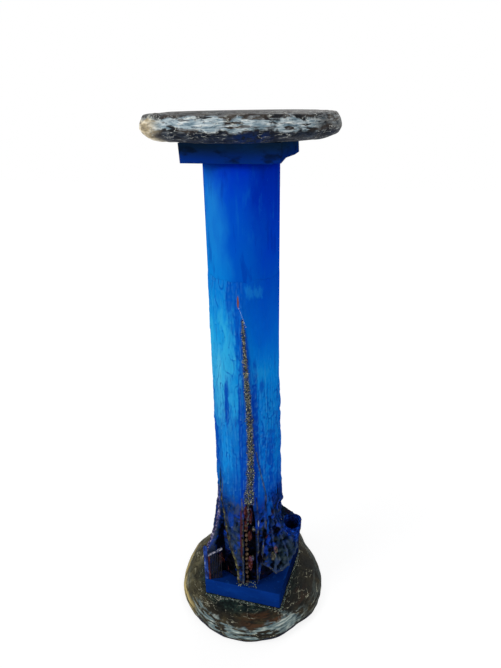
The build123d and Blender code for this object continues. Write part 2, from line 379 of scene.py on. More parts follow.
base_outline = smooth_line([
    (0.002, 0), (base_radius - 0.012, 0), (base_radius - 0.004, 0.004), (base_radius, 0.010),
    (base_radius, 0.018), (base_radius - 0.010, 0.028), (base_radius - 0.026, base_top - 0.0006),
    (0.002, base_top - 0.0006),
], slab_step)
base_points, base_faces = lathe(base_outline, slab_facets, base_hewing)
base_turn = np.arctan2(base_points[:, 0], -base_points[:, 1])
base_push = np.clip((np.hypot(base_points[:, 0], base_points[:, 1]) - 0.09) / 0.05, 0, 1)
for bulge_angle, bulge_rise, bulge_spread in base_bulges:
    aside = (np.degrees(base_turn) - bulge_angle + 180) % 360 - 180
    bulge = base_push * bulge_rise * np.exp(-((aside / bulge_spread) ** 2))
    base_points[:, 0] += bulge * np.sin(base_turn)
    base_points[:, 1] -= bulge * np.cos(base_turn)
base_points[:, 0] += base_middle[0]
base_points[:, 1] += base_middle[1]
base_points = np.clip(base_points, base_low, base_high)
set_piece("base_slab", base_points, base_faces, "base_disc", base_finish())


# The plinth. It is a square block of wood, sawn a little out of square, sanded round at its edges
# and painted navy in one thin coat that lets the grain of the brush show.
plinth_low, plinth_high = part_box("plinth")
plinth_splay = 0.012


def soft_block(name, corners, low, high, node, finish, rounding, uneven, seed, cuts=2):
    """A block with four upright sides: its faces are cut into small squares, that many times over,
    its edges rounded and its faces left a little uneven."""
    mesh = bpy.data.meshes.new(name)
    points = [(x, y, low) for x, y in corners] + [(x, y, high) for x, y in corners]
    mesh.from_pydata(points, [], [(3, 2, 1, 0), (4, 5, 6, 7), (0, 1, 5, 4), (1, 2, 6, 5), (2, 3, 7, 6),
                                  (3, 0, 4, 7)])
    block = show(name, mesh)
    edges = block.modifiers.new("edges", "BEVEL")
    edges.width = rounding
    edges.segments = 3
    fine = block.modifiers.new("fine", "SUBSURF")
    fine.subdivision_type = "SIMPLE"
    fine.levels = fine.render_levels = cuts
    shaped = bpy.data.meshes.new_from_object(block.evaluated_get(bpy.context.evaluated_depsgraph_get()))
    bpy.data.objects.remove(block)
    count = len(shaped.vertices)
    places = np.empty(count * 3)
    shaped.vertices.foreach_get("co", places)
    places = places.reshape(-1, 3)
    middle = places.mean(axis=0)
    away = np.sign(places - middle)
    places = places - away * uneven * (1 + lumps(places, 0.03, seed)[:, None]) * 0.5
    faces = [list(face.vertices) for face in shaped.polygons]
    piece = set_piece(name, places, faces, node, finish)
    bpy.data.meshes.remove(shaped)
    return piece


def plinth_finish():
    paint = Finish("plinth_paint", 0.6, 0.0)
    paint.colour = paint.ramp(paint.cloud(0.03, stretch=(2, 2, 1)),
                              [(0.3, "041c50"), (0.55, "06296c"), (0.75, "0a3a88")])
    # The right face is painted darker: painted shade on the side away from the light.
    right = paint.between(paint.x, 0.082, 0.09)
    side = paint.times(right, paint.between(paint.height, 0.0785, 0.077))
    paint.coat("07143a", side)
    foot = paint.between(paint.plus(paint.height, paint.times(paint.cloud(0.008), 0.008)), 0.044, 0.04)
    paint.coat("14283c", foot)
    # The faces below the top, all but the right one, are painted lighter: painted light, against a top left
    # darker as painted shade under the relief.
    front = paint.times(paint.between(paint.height, 0.0788, 0.0775), paint.between(paint.x, 0.085, 0.08))
    paint.coat("0c3c98", front, 0.4)
    speck = paint.between(paint.cloud(0.004, detail=2.0), 0.68, 0.74)
    paint.coat("2a4f86", speck)
    wear_and_highlight = paint.between(paint.cloud(0.010, detail=6.0, shift=3.0), 0.58, 0.68)
    paint.coat("10408c", wear_and_highlight, 0.5)
    bumps = paint.plus(paint.cloud(0.008, stretch=(4, 4, 0.6)), paint.cloud(0.004, detail=5.0))
    return paint.close(bumps, 0.0007)


plinth_corners = [
    (plinth_low[0], plinth_low[1]), (plinth_high[0] - plinth_splay, plinth_low[1]),
    (plinth_high[0], plinth_high[1]), (plinth_low[0], plinth_high[1]),
]
soft_block("plinth_wood", plinth_corners, plinth_low[2], plinth_high[2], "plinth",
           plinth_finish(), 0.0016, 0.0006, 11, cuts=4)


# The shaft. It is a smooth round post, 120 mm thick, painted in ultramarine, brushed out unevenly
# and fading to azure further down, where the moulded coat begins.
shaft_low, shaft_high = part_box("shaft")
shaft_radius = (shaft_high[0] - shaft_low[0]) / 2


def blue_of_height(paint, wander):
    """The blues of the post and of the coat on it: darkest at the top, palest at mid height on the left,
    with the left side painted lighter as a painted highlight and the right side painted darker as
    painted shade. Wander moves the colours up and down."""
    level = paint.between(paint.plus(paint.height, wander), 0.2, 0.9)
    level.node.interpolation_type = "LINEAR"
    left = paint.ramp(level, [
        (0.0, "0c2a66"), (0.1, "0b4898"), (0.2, "0f64b8"), (0.3, "0c6ec2"), (0.42, "2c90ce"),
        (0.51, "38a4d8"), (0.61, "1a98da"), (0.72, "0679cf"), (0.82, "127ace"), (0.92, "1876cc"),
        (1.0, "0a4ec6"),
    ])
    front = paint.ramp(level, [
        (0.0, "08205c"), (0.1, "083c98"), (0.2, "0c62bc"), (0.3, "0c6cc4"), (0.42, "1278c6"),
        (0.51, "0a80d0"), (0.61, "0268c6"), (0.72, "0152bc"), (0.82, "0152c0"), (0.92, "0148c2"),
        (1.0, "0036cb"),
    ])
    right = paint.ramp(level, [
        (0.0, "081e62"), (0.1, "083ca4"), (0.2, "0664c8"), (0.3, "0664c8"), (0.42, "0876d4"),
        (0.51, "0580da"), (0.61, "015ece"), (0.72, "004cc3"), (0.82, "003dc3"), (0.92, "0030b6"),
        (1.0, "0026a8"),
    ])
    blotch = paint.less(paint.cloud(0.035, detail=5.0, stretch=(1, 1, 2.5), shift=6.0), 0.5)
    side = paint.plus(paint.side(), paint.times(blotch, 0.9))
    colour = paint.over(front, left, paint.between(side, 0.05, -0.55))
    return paint.over(colour, right, paint.between(side, 0.3, 0.85))


def shaft_finish():
    paint = Finish("shaft_paint", 0.5, 0.0)
    wander = paint.times(paint.less(paint.cloud(0.05, detail=5.0, stretch=(1, 1, 2)), 0.5), 0.16)
    paint.colour = blue_of_height(paint, wander)
    brushed = paint.cloud(0.012, detail=5.0, stretch=(1, 1, 5), shift=2.0)
    paint.coat("0f63c4", paint.between(brushed, 0.56, 0.72), 0.4)
    paint.coat("02259a", paint.between(brushed, 0.45, 0.3), 0.4)
    speck = paint.between(paint.cloud(0.003, detail=1.0), 0.72, 0.78)
    paint.coat("1458c8", speck, 0.6)
    return paint.close(paint.cloud(0.02, detail=6.0), 0.0005)


def shaft_skin():
    heights = np.linspace(shaft_low[2], shaft_high[2], 60)
    outline = [(0.002, heights[0]), (shaft_radius / 2, heights[0])]
    outline += [(shaft_radius, z) for z in heights]
    outline += [(shaft_radius / 2, heights[-1]), (0.002, heights[-1])]
    return lathe(outline, 240, lambda rings: 0 * rings[..., 0])


shaft_points, shaft_faces = shaft_skin()
set_piece("shaft_post", shaft_points, shaft_faces, "shaft", shaft_finish())


# The moulded relief, above its foot: a skin of filler paste, one to two millimetres thick, pulled
# down the post with the fingers so that it hangs in drips and creases, and painted over the same
# blues. It carries the spire, a crusted ridge up the front.
relief_low, relief_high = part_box("relief")
post_radius = 60.0
coat_bed = 61.1
coat_edge = 731.0
foot_top = 300.0
plinth_level = 79.0

# Each ridge is a line of places (height, angle, distance from the axis) from the foot up, in
# millimetres and degrees. Fill is how full the surface is between it and the next ridge, and width
# is how far its flanks spread.
ridges = [
    dict(name="back_left", fill=0.3, width=7, line=[(79, -165, 87), (120, -164, 80), (190, -162, 68),
                                                    (270, -160, 61)]),
    dict(name="corner_left", fill=0.15, width=6, line=[
        (79, -135, 99), (97, -135, 99), (150, -136, 84), (215, -137, 70), (290, -138, 61)]),
    dict(name="side_left", fill=0.3, width=7, line=[(79, -104, 87), (120, -105, 79), (190, -108, 67),
                                                    (255, -110, 61)]),
    dict(name="flank_left", fill=0.35, width=7, line=[
        (79, -76, 86), (119, -76, 85), (170, -78, 75), (230, -79, 66), (280, -80, 61)]),
    dict(name="porch_fin", fill=0.05, width=6, line=[
        (79, -45, 101), (156, -45, 102), (170, -45.5, 95), (186, -46, 86), (213, -46, 76),
        (241, -48, 68.5),
        (285, -54, 63.5), (330, -58, 61)]),
    dict(name="sail_left", fill=0.86, width=4, line=[
        (79, -3.3, 77), (119, -4.4, 78), (140, -7, 78), (162, -11.7, 78), (184, -16.8, 77),
        (211, -23.4, 74),
        (242, -29.6, 70), (270, -38, 66), (292, -44, 64.5), (340, -47, 61.3)]),
    dict(name="sail_right", fill=0.8, width=4, line=[
        (79, 4.6, 79), (149, 5.3, 77), (187, 5.6, 75.5), (224, 6, 74), (258, 6.1, 71), (277, 5, 67),
        (320, 3, 61.3)]),
    dict(name="spire", fill=0.9, width=6, line=[
        (79, 17, 74), (280, 17, 72), (300, 16.5, 68.5), (340, 19.5, 67), (397, 20.5, 66),
        (450, 20.5, 65.3),
        (513, 18, 64.6), (553, 16, 64), (610, 14, 63.4), (663, 12, 62.8), (698, 8, 62.3), (718, 6.5, 61.2)]),
    dict(name="jamb_right", fill=0.7, width=4, line=[
        (79, 27, 79), (136, 27.6, 78), (173, 29.5, 76), (209, 29.6, 73), (244, 30.4, 70), (273, 30.5, 65),
        (320, 28, 61.3)]),
    dict(name="rib_right", fill=0.75, width=4, line=[
        (79, 33, 80), (136, 33, 83), (150, 34, 81), (173, 36.5, 79), (199, 40.5, 76), (226, 44, 72),
        (259, 47, 67.5),
        (295, 47, 64.5), (320, 43.5, 63.5), (350, 38, 62.5), (400, 30, 61.3)]),
    dict(name="veil_tip", fill=0.92, width=7, line=[
        (79, 51.3, 98), (107, 51.3, 98), (150, 53, 89), (190, 55, 77), (230, 57, 67), (270, 58, 61.5)]),
    dict(name="veil_fold", fill=0.93, width=8, line=[
        (79, 66, 107), (116, 66.4, 107), (160, 66, 99), (190, 66, 86), (225, 65, 72), (270, 65, 61.5)]),
    dict(name="cup_back", fill=0.55, width=9, line=[
        (79, 84, 110), (175, 84, 109.5), (200, 85, 94), (214, 86, 74), (255, 88, 61.5)]),
    dict(name="edge_right", fill=0.4, width=9, line=[
        (79, 98, 61), (210, 98, 66), (250, 98, 70.5), (300, 98, 67.5), (350, 98, 66), (420, 98, 65),
        (480, 98, 63.5),
        (520, 98, 61.3)]),
    dict(name="flank_right", fill=0.3, width=7, line=[(79, 112, 84), (103, 112, 84), (170, 108, 71),
                                                      (255, 106, 61)]),
    dict(name="corner_right", fill=0.2, width=6, line=[
        (79, 137, 99), (93, 137, 99), (150, 136, 82), (215, 135, 69), (284, 134, 61)]),
    dict(name="back_right", fill=0.25, width=7, line=[(79, 166, 87), (115, 167, 79), (190, 169, 67),
                                                      (258, 170, 61)]),
]
ridge_named = {rib["name"]: rib for rib in ridges}
spire = ridge_named["spire"]

# The lower edge of the veil, the hanging fold on the right, as (angle, height), and the distance
# from the axis of what stands behind it.
veil_hem = [
    (30, 60), (33, 136), (38, 127), (45, 119), (51, 107), (59, 110), (66, 120), (72, 128), (78, 132),
    (86, 144), (93, 156), (100, 158), (106, 135), (112, 60),
]
under_veil = 68.0
drip_count = 170
dice = np.random.default_rng(7)
drips = np.stack([
    dice.uniform(-180, 180, drip_count), dice.uniform(280, 700, drip_count),
    dice.uniform(20, 110, drip_count),
    dice.uniform(0.8, 2.6, drip_count), dice.uniform(0.3, 1.5, drip_count)], axis=1)


def swept(turn, centre):
    """Degrees from centre to turn, the short way round."""
    return (turn - centre + 180) % 360 - 180


def along_line(rib, height):
    """A ridge's angle and distance from the axis at a height."""
    line = np.array(rib["line"], dtype=float)
    reach = np.where(height > line[-1, 0], 0, np.interp(height, line[:, 0], line[:, 2]))
    return np.interp(height, line[:, 0], line[:, 1]), reach


def ring_points(turn, height, reach):
    """Places in metres for angles, heights and distances in degrees and millimetres."""
    spin, height, reach = np.broadcast_arrays(np.radians(turn), height, reach)
    return np.stack([reach * np.sin(spin), -reach * np.cos(spin), height], axis=-1) * 0.001


def hem_at(turn):
    return np.interp(turn, [place[0] for place in veil_hem], [place[1] for place in veil_hem], left=0,
                     right=0)


def ridge_reach(turn, height):
    """Distance of the moulded surface from the axis, in millimetres, before its roughness."""
    bed = coat_bed + fall(height, 330, 250) * 1.4
    surface = bed + 0 * turn
    ribs = ridges + ridges[:1]
    for rib, after in zip(ribs, ribs[1:]):
        start, reach = along_line(rib, height)
        end, next_reach = along_line(after, height)
        span = (end - start) % 360
        reach = np.maximum(reach - bed, 0)
        next_reach = np.maximum(next_reach - bed, 0)
        away = (turn - start) % 360
        inside = away <= span
        share = np.where(inside, away / np.maximum(span, 1e-6), 0)
        arc = np.radians(away) * (bed + reach)
        far_arc = np.radians(np.maximum(span - away, 0)) * (bed + next_reach)
        near_crest = np.exp(-((arc / rib["width"]) ** 2)) * reach
        far_crest = np.exp(-((far_arc / after["width"]) ** 2)) * next_reach
        full = rib["fill"] * (reach + share * (next_reach - reach))
        surface = np.where(inside, bed + np.maximum(full, np.maximum(near_crest, far_crest)), surface)
    return np.where(height < hem_at(turn), np.minimum(surface, under_veil), surface)


def calm(turn, height):
    """1 where the coat was left smooth, up the right side, and 0 where it is creased."""
    middle, _ = along_line(spire, height)
    aside = swept(turn, middle)
    right = rise(aside, 2, 6) * fall(aside, 178, 40)
    return right * rise(height, 520, 90)


def drip_relief(turn, height):
    """How far the drips stand out of the coat, in millimetres."""
    out = np.zeros(np.broadcast(turn, height).shape)
    for centre, top, length, width, depth in drips:
        rows = np.flatnonzero((height[:, 0] < top) & (height[:, 0] > top - length))
        spot = height[rows]
        aside = np.abs(swept(turn[rows], centre + 1.2 * np.sin(spot / 23 + centre)))
        along = (top - spot) / length
        shape = (0.3 + 0.7 * along) * np.exp(-((aside * math.radians(coat_bed) / width) ** 2))
        out[rows] = np.maximum(out[rows], depth * shape)
    return out


def spire_share(turn, height, spread):
    """1 on the spire's crest, falling to 0 at its flanks."""
    middle, _ = along_line(spire, height)
    wide = spread * np.interp(height, [290, 340, 430, 500, 600, 640, 662],
                              [9.5, 7.0, 6.8, 6.0, 4.0, 2.6, 1.4])
    aside = np.abs(swept(turn, middle)) * math.radians(62)
    return np.where((height > 282) & (height < 664), np.exp(-((aside / wide) ** 2)), 0)


def blurred(table, rows, columns):
    """A table smoothed over so many rows and columns to each side. Its columns run all round."""
    weights = np.exp(-((np.arange(-rows, rows + 1) / (0.6 * rows)) ** 2))
    places = np.arange(len(table))
    shifted = [w * table[np.clip(places + i - rows, 0, len(table) - 1)] for i, w in enumerate(weights)]
    table = sum(shifted) / weights.sum()
    weights = np.exp(-((np.arange(-columns, columns + 1) / (0.6 * columns)) ** 2))
    return sum(w * np.roll(table, i - columns, axis=1) for i, w in enumerate(weights)) / weights.sum()


# The moulded surface is worked out once, for each millimetre of height and each half degree.
map_heights = np.arange(76.0, 736.0)
map_turns = np.arange(-180, 180, 0.5)
map_turn, map_height = np.meshgrid(map_turns, map_heights)
map_reach = ridge_reach(map_turn, map_height)
map_spots = ring_points(map_turn, map_height, map_reach)
rugged = fall(map_height, 322, 85)
creased = 1 - 0.9 * calm(map_turn, map_height)
long_spots = map_spots * np.array([1, 1, 0.3])
crease = np.exp(-((lumps(long_spots, 0.0075, 27) / 0.16) ** 2)) * np.clip(0.6 + lumps(map_spots, 0.03,
                                                                                      28), 0, 1)
fine_crease = np.exp(-((lumps(long_spots, 0.0042, 29) / 0.2) ** 2))
lumpy = 0.6 + 1.1 * fall(map_height, 590, 120)
map_rough = creased * lumpy * (0.55 * lumps(map_spots, 0.011, 23) + 0.4 * lumps(long_spots, 0.0050, 24))
map_rough += creased * (drip_relief(map_turn, map_height) - 1.05 * crease - 0.4 * fine_crease)
veil_share = rise(map_turn, 30, 8) * fall(map_turn, 112, 10)
map_lumps = 1.9 * lumps(map_spots, 0.014, 31) + 0.9 * lumps(map_spots, 0.0062, 32)
map_rough += rugged * (1 + 0.9 * veil_share) * map_lumps
map_rough += rugged * 0.45 * lumps(map_spots, 0.0030, 33)
map_grains = 0.9 * lumps(map_spots, 0.0035, 25) + 0.8 * lumps(map_spots, 0.007, 26)
map_rough += spire_share(map_turn, map_height, 1.0) * map_grains
map_reach = map_reach + map_rough
upper_share = rise(map_height, 290, 30)
map_crest = (1 - upper_share) * (blurred(map_reach, 1, 1) - blurred(map_reach, 9, 11))
map_crest += upper_share * 1.3 * (map_reach - blurred(map_reach, 6, 7))


def from_map(table, turn, height):
    """A value of one of those tables at any angle and height."""
    column = (turn + 180) * 2
    left = np.floor(column).astype(int)
    row = np.clip(height - map_heights[0], 0, len(map_heights) - 1.001)
    low = np.floor(row).astype(int)
    u, v = column - left, row - low
    left, right = left % len(map_turns), (left + 1) % len(map_turns)
    lower = table[low, left] * (1 - u) + table[low, right] * u
    upper = table[low + 1, left] * (1 - u) + table[low + 1, right] * u
    return lower * (1 - v) + upper * v


def relief_finish():
    paint = Finish("relief_paint", 0.5, 0.0)
    wear_and_highlight, deep = paint.shade("wear_and_highlight"), paint.shade("deep")
    wander = paint.times(paint.less(paint.cloud(0.035, stretch=(1, 1, 2.5)), 0.5), 0.11)
    paint.colour = blue_of_height(paint, wander)
    upper = paint.between(paint.height, 0.27, 0.31)
    threads = paint.cloud(0.006, detail=3.0, stretch=(1, 1, 9), shift=3.0)
    dark_thread = paint.times(paint.between(threads, 0.55, 0.66), paint.between(paint.height, 0.62, 0.5))
    paint.coat("0448ac", dark_thread, 0.75)
    # Azure on the left at mid height: azure paint, lifted further as a painted highlight on the side the
    # light comes from.
    azure = paint.cloud(0.014, detail=5.0, stretch=(1, 1, 3.5), shift=9.0)
    high_left = paint.times(paint.between(paint.side(), 0.35, 0.0), paint.band(paint.height, 0.5, 0.68, 0.04))
    paint.coat("2fa8dc", paint.between(azure, 0.46, 0.62), high_left, 0.75)
    marks = [
        (-20, 0.497, 9, 0.110, "0547ad", 0.95), (-57, 0.395, 34, 0.130, "0446ac", 0.9),
        (-36, 0.500, 15, 0.110, "35a0d6", 0.8), (-4, 0.508, 15, 0.100, "1f92d4", 0.8),
        (-24, 0.388, 27, 0.130, "1486d6", 0.85), (5, 0.430, 8, 0.330, "0442aa", 0.85),
        (30, 0.430, 12, 0.340, "0440a8", 0.9), (60, 0.475, 44, 0.090, "0a7cd0", 0.75),
        (42, 0.532, 12, 0.030, "0448b0", 0.8), (62, 0.365, 14, 0.150, "0448b4", 0.85),
        (82, 0.400, 20, 0.130, "0c74c8", 0.8), (-12, 0.610, 22, 0.110, "2aa3d9", 0.5),
        (-34, 0.550, 14, 0.100, "4ab4dd", 0.6), (-9, 0.700, 15, 0.060, "0150b8", 0.8),
        (4, 0.660, 9, 0.150, "0450b6", 0.7), (-44, 0.306, 8, 0.075, "12120f", 0.9),
        (-37, 0.300, 4, 0.060, "4c4838", 0.7), (-20, 0.330, 16, 0.070, "0e62b8", 0.7),
    ]
    for degrees, height, wide, tall, code, strength in marks:
        paint.coat(code, paint.patch(degrees, height, wide, tall), strength)
    broken = paint.cloud(0.008, detail=5.0, stretch=(1, 1, 1.4), shift=13.0)
    rough_right = paint.times(paint.between(paint.side(), 0.35, 0.6),
                              paint.band(paint.height, 0.32, 0.52, 0.03))
    paint.coat("0878d2", paint.between(broken, 0.52, 0.62), rough_right, 0.7)
    paint.coat("024cb0", paint.between(broken, 0.47, 0.38), rough_right, 0.7)
    for degrees, height, wide, tall in ((28, 0.708, 26, 0.020), (38, 0.556, 34, 0.026)):
        wisp = paint.patch(degrees, height, wide, tall, ragged=1.7)
        paint.coat("2090d8", wisp, 0.32)
    # Creases in the coat are painted darker blue as painted shade, and its crests lighter as painted
    # highlights.
    paint.coat("0434a2", paint.shade("flank"))
    paint.coat("0337a0", deep, upper, 0.8)
    paint.coat("63bde2", wear_and_highlight, upper, 0.25)
    low = paint.between(paint.plus(paint.height, wander), 0.3, 0.235)
    murk = paint.ramp(paint.cloud(0.017, detail=5.0, rough=0.56), [
        (0.3, "03050a"), (0.40, "081430"), (0.48, "0a2868"), (0.55, "10264a"), (0.64, "1c232c"),
        (0.74, "35322a")])
    paint.coat(murk, low)
    sail = paint.ramp(paint.cloud(0.014, detail=5.0, shift=5.0, rough=0.6), [
        (0.32, "080d18"), (0.44, "182842"), (0.54, "2a3a50"), (0.64, "3c4348"), (0.76, "5a5850")])
    on_sail = paint.patch(-14.0, 0.182, 30.0, 0.225, ragged=0.4)
    paint.coat(sail, on_sail, 0.85)
    moss = paint.ramp(paint.cloud(0.015, detail=5.0, shift=7.0, rough=0.6), [
        (0.3, "050a10"), (0.42, "0e1c28"), (0.52, "1a282e"), (0.62, "2b3735"), (0.76, "4c5146")])
    paint.coat(moss, paint.shade("veil"), 0.9)
    plain_part = paint.less(1.0, paint.sum("MAXIMUM", paint.times(on_sail, 0.8), paint.shade("veil")))
    vivid = paint.between(paint.cloud(0.020, detail=4.0, shift=8.0), 0.54, 0.60)
    vivid = paint.times(vivid, paint.sum("MAXIMUM", plain_part, 0.15))
    paint.coat("0a3aac", vivid, low, 0.75)
    rusty = paint.between(paint.cloud(0.014, detail=5.0, shift=6.0), 0.61, 0.66)
    paint.coat("2c1a1a", rusty, low, 0.7)
    # Crests in the lower part are painted pale slate: painted highlights.
    paint.coat("46587c", wear_and_highlight, low, 0.4)
    dabs = [
        (-14, 0.243, 12, 0.045, "0d3c96", 0.8), (-6, 0.172, 6, 0.030, "0c3a8a", 0.6),
        (40, 0.168, 9, 0.030, "0a3190", 0.85), (46, 0.235, 12, 0.080, "0a48b0", 0.75),
        (55, 0.272, 16, 0.070, "0c58bc", 0.7), (54, 0.167, 4, 0.016, "7a4a5c", 0.8),
        (-24, 0.105, 8, 0.030, "0b2d74", 0.7), (31, 0.235, 3.5, 0.016, "b4c4dc", 0.9),
        (27, 0.130, 5, 0.100, "181f30", 0.7), (-10, 0.120, 12, 0.050, "2a2630", 0.7),
        (-3, 0.268, 9, 0.030, "3a4450", 0.6), (46, 0.142, 12, 0.030, "0c2c5c", 0.5),
        (25, 0.178, 6, 0.050, "101c2c", 0.8),
    ]
    for degrees, height, wide, tall, code, strength in dabs:
        paint.coat(code, paint.patch(degrees, height, wide, tall), strength)
    # Creases in the lower part are painted near black: painted shade.
    paint.coat("02040a", deep, low, 0.95)
    strip = paint.patch(3.5, 0.215, 5.0, 0.13, ragged=0.35)
    paint.coat("46231f", strip, 0.85)
    lip = paint.between(paint.shade("lip"), 0.2, 0.7)
    paint.coat(paint.ramp(paint.cloud(0.006), [(0.35, "040f30"), (0.53, "0a2878"), (0.68, "1a50b8")]), lip)
    grit = paint.between(paint.cloud(0.0034, detail=2.0, shift=1.0), 0.67, 0.71)
    gritty = paint.times(low, paint.between(paint.cloud(0.02, shift=12.0), 0.48, 0.6))
    paint.coat("7d7c6a", grit, gritty)
    green = paint.ramp(paint.cloud(0.007, detail=4.0, stretch=(1, 1, 1.8), shift=15.0), [
        (0.32, "0f100e"), (0.45, "29291f"), (0.56, "46452f"), (0.66, "6d6a48"), (0.78, "9a977c")])
    paint.coat(green, paint.shade("olive"))
    crust = paint.ramp(paint.cloud(0.0042, detail=3.0), [
        (0.3, "0c0d10"), (0.42, "26261f"), (0.52, "4a4838"), (0.62, "74705a"), (0.76, "aeaa90")])
    paint.coat(crust, paint.shade("crest"))
    lavender = paint.ramp(paint.cloud(0.0045), [
        (0.34, "16183a"), (0.45, "3c3244"), (0.54, "6a6084"), (0.62, "a098b4"), (0.74, "d2ccd4")])
    paint.coat(lavender, paint.shade("pink"), 0.9)
    dark = paint.ramp(paint.cloud(0.009, detail=4.0), [(0.44, "030407"), (0.56, "0a0c16"),
                                                       (0.64, "1c0f12"), (0.74, "3a1c1a")])
    # Niches, cut hollows, the deep inside of the cup and the paste under the veil and in the porch are
    # painted near black: painted shade.
    paint.coat(dark, paint.shade("hollow"))
    red = paint.ramp(paint.cloud(0.006, detail=4.0), [(0.3, "150c10"), (0.46, "351a18"), (0.58, "55291f"),
                                                      (0.7, "6c5a78")])
    paint.coat(red, paint.shade("red"))
    chip = paint.patch(6.0, 0.693, 3.0, 0.022, ragged=0.2)
    paint.coat("7a4a38", chip)
    bumps = paint.plus(paint.cloud(0.0045, detail=5.0, stretch=(1, 1, 2)), paint.times(threads, 0.5))
    return paint.close(bumps, 0.0012)


relief_paint = relief_finish()


def coat_skin():
    """The coat as a thin tube: the moulded face outside, a plain bore inside."""
    around, rows = 300, 310
    turn = np.linspace(-180, 180, around, endpoint=False)[None, :]
    rim = ring_points(turn, coat_edge, 61.0)
    edge = coat_edge - 4 + 3.5 * lumps(rim, 0.02, 21) + 2 * lumps(rim, 0.007, 22)
    bottom = foot_top - 4
    height = bottom + np.linspace(0, 1, rows)[:, None] * (edge - bottom)
    turn = turn + 0 * height
    smooth = calm(turn, height)
    near_edge = np.clip((edge - height) / 5, 0, 1)
    thick = near_edge * (1 - 0.8 * smooth) + (1 - near_edge) * 0.35 * (1 - smooth)
    surface = from_map(map_reach, turn, height)
    bore = post_radius + 0.12
    outer = ring_points(turn, height, np.maximum(bore + (surface - bore) * thick, bore))
    inner = ring_points(turn[::rows - 1], height[::rows - 1], np.full((2, around), post_radius + 0.1))
    skin = np.concatenate([inner[:1], outer, inner[1:]])
    count = len(skin)
    index = np.arange(count * around).reshape(count, around)
    after = np.roll(index, -1, axis=1)
    below, above = np.arange(count), np.roll(np.arange(count), -1)
    faces = np.stack([index[below], after[below], after[above], index[above]], axis=-1).reshape(-1, 4)
    crest = spire_share(turn, height, 0.95)
    bend = from_map(map_crest, turn, height)
    rib_middle, rib_out = along_line(ridge_named["rib_right"], height)
    thread = np.exp(-((np.abs(swept(turn, rib_middle)) * 1.07 / 1.3) ** 2)) * (rib_out > 0)
    # The coat's crests are marked for a painted highlight and its creases for painted shade, by how far the
    # surface stands out of a blurred copy of itself.
    shades = {
        "crest": np.clip(crest * 1.6 - 0.35, 0, 1), "olive": 0.9 * thread * (height < 400),
        "flank": np.clip(spire_share(turn, height, 2.1) * 1.7 - 0.3, 0, 1) * (1 - crest),
        "wear_and_highlight": np.clip(bend / 0.9, 0, 1), "deep": np.clip(-bend / 0.6 - 0.2, 0, 1),
    }
    shades.update({name: 0 * height for name in ("veil", "pink", "hollow", "red", "lip")})
    shades = {name: np.concatenate([values[:1], values, values[-1:]]).ravel() for name,
              values in shades.items()}
    return skin.reshape(-1, 3), faces.tolist(), shades


coat_points, coat_faces, coat_shades = coat_skin()
set_piece("relief_coat", coat_points, coat_faces, "relief", relief_paint, coat_shades)


# The foot of the relief. The same paste is built up over card and scraps into ribs, a niche, a
# hanging veil and an open cup. It is worked out here as a solid on a fine grid of points, because
# it has undercuts, and the skin is then drawn where the solid begins.
foot_step = 1.8
foot_low = np.array([-88.0, -96.0, 77.0])
foot_high = np.array([118.0, 88.0, foot_top + 3])
niche_turn = 16.5
niche_half_width = 11.5
niche_head = 285.0
niche_floor = 63.5
cup_middle = (92.0 * math.sin(math.radians(86)), -92.0 * math.cos(math.radians(86)))
cup_foot, cup_rim, cup_wall = 156.0, 204.0, 3.4
lip_reach, lip_thick = 18.0, 2.9

# Hollows that are cut into the relief and painted near black inside as painted shade: middle (x, y, z)
# and half sizes.
hollows = [
    ((84, -46, 193), (9, 11, 13)), ((61, -60, 170), (6, 7, 7)), ((53, -66, 171), (4, 5, 6)),
    ((-27, -62, 116), (10, 8, 27)), ((70, -40, 204), (7, 7, 9)), ((40, -66, 150), (5, 7, 9)),
    ((48, -58, 208), (4, 6, 12)), ((-36, -64, 186), (5, 6, 8)), ((-8, -78, 212), (3.5, 4, 8)),
]
# Scraps that are set into it: middle, half sizes and whether they are red.
scraps = [
    ((19.0, -65.0, 205), (4.5, 4.5, 13), 1), ((19.5, -65.5, 134), (5.0, 4.5, 20), 1),
    ((51.5, -61.5, 200), (2.8, 3.4, 11), 1), ((25, -66.0, 150), (2.5, 2.5, 8), 0),
    ((27, -64.5, 224), (3, 3, 8), 0), ((-6, -77, 88), (3.2, 3.2, 9), 0),
    ((7.0, -76.5, 245), (2.2, 2.6, 12), 1), ((64, -52, 150), (5, 5, 9), 0),
    ((72, -54, 168), (5, 4, 8), 0), ((58, -50, 214), (4, 4, 9), 0), ((-44, -58, 118), (6, 5, 20), 1),
    ((-31, -64, 98), (5, 5, 12), 1), ((13.8, -66.8, 264), (4.2, 4.5, 16), 1),
    ((20.5, -62.6, 252), (3.6, 3.4, 17), 1), ((12.6, -66.8, 232), (3.6, 4, 12), 1),
    ((18.4, -68.6, 284), (2.5, 2.5, 3.1), 0), ((18.0, -68.8, 277), (2.6, 2.6, 3.2), 0),
    ((18.5, -69.0, 270), (2.4, 2.4, 3.2), 0), ((18.1, -69.3, 263), (2.7, 2.7, 3.2), 0),
    ((17.6, -69.8, 256), (2.5, 2.5, 3.2), 0), ((17.2, -70.0, 249), (2.6, 2.6, 3.2), 0),
    ((16.8, -70.3, 242), (2.5, 2.5, 3.2), 0), ((6.0, -77.0, 206), (2, 2.6, 4), 0),
    ((6.5, -77.5, 186), (2, 2.4, 3.5), 0), ((6.5, -78, 226), (2, 2.4, 3.5), 0),
]


def ball(points, middle, half):
    """Signed distance, near enough, from an egg shape: below 0 inside it."""
    scaled = (points - np.array(middle)) / np.array(half)
    return (np.linalg.norm(scaled, axis=-1) - 1) * min(half)


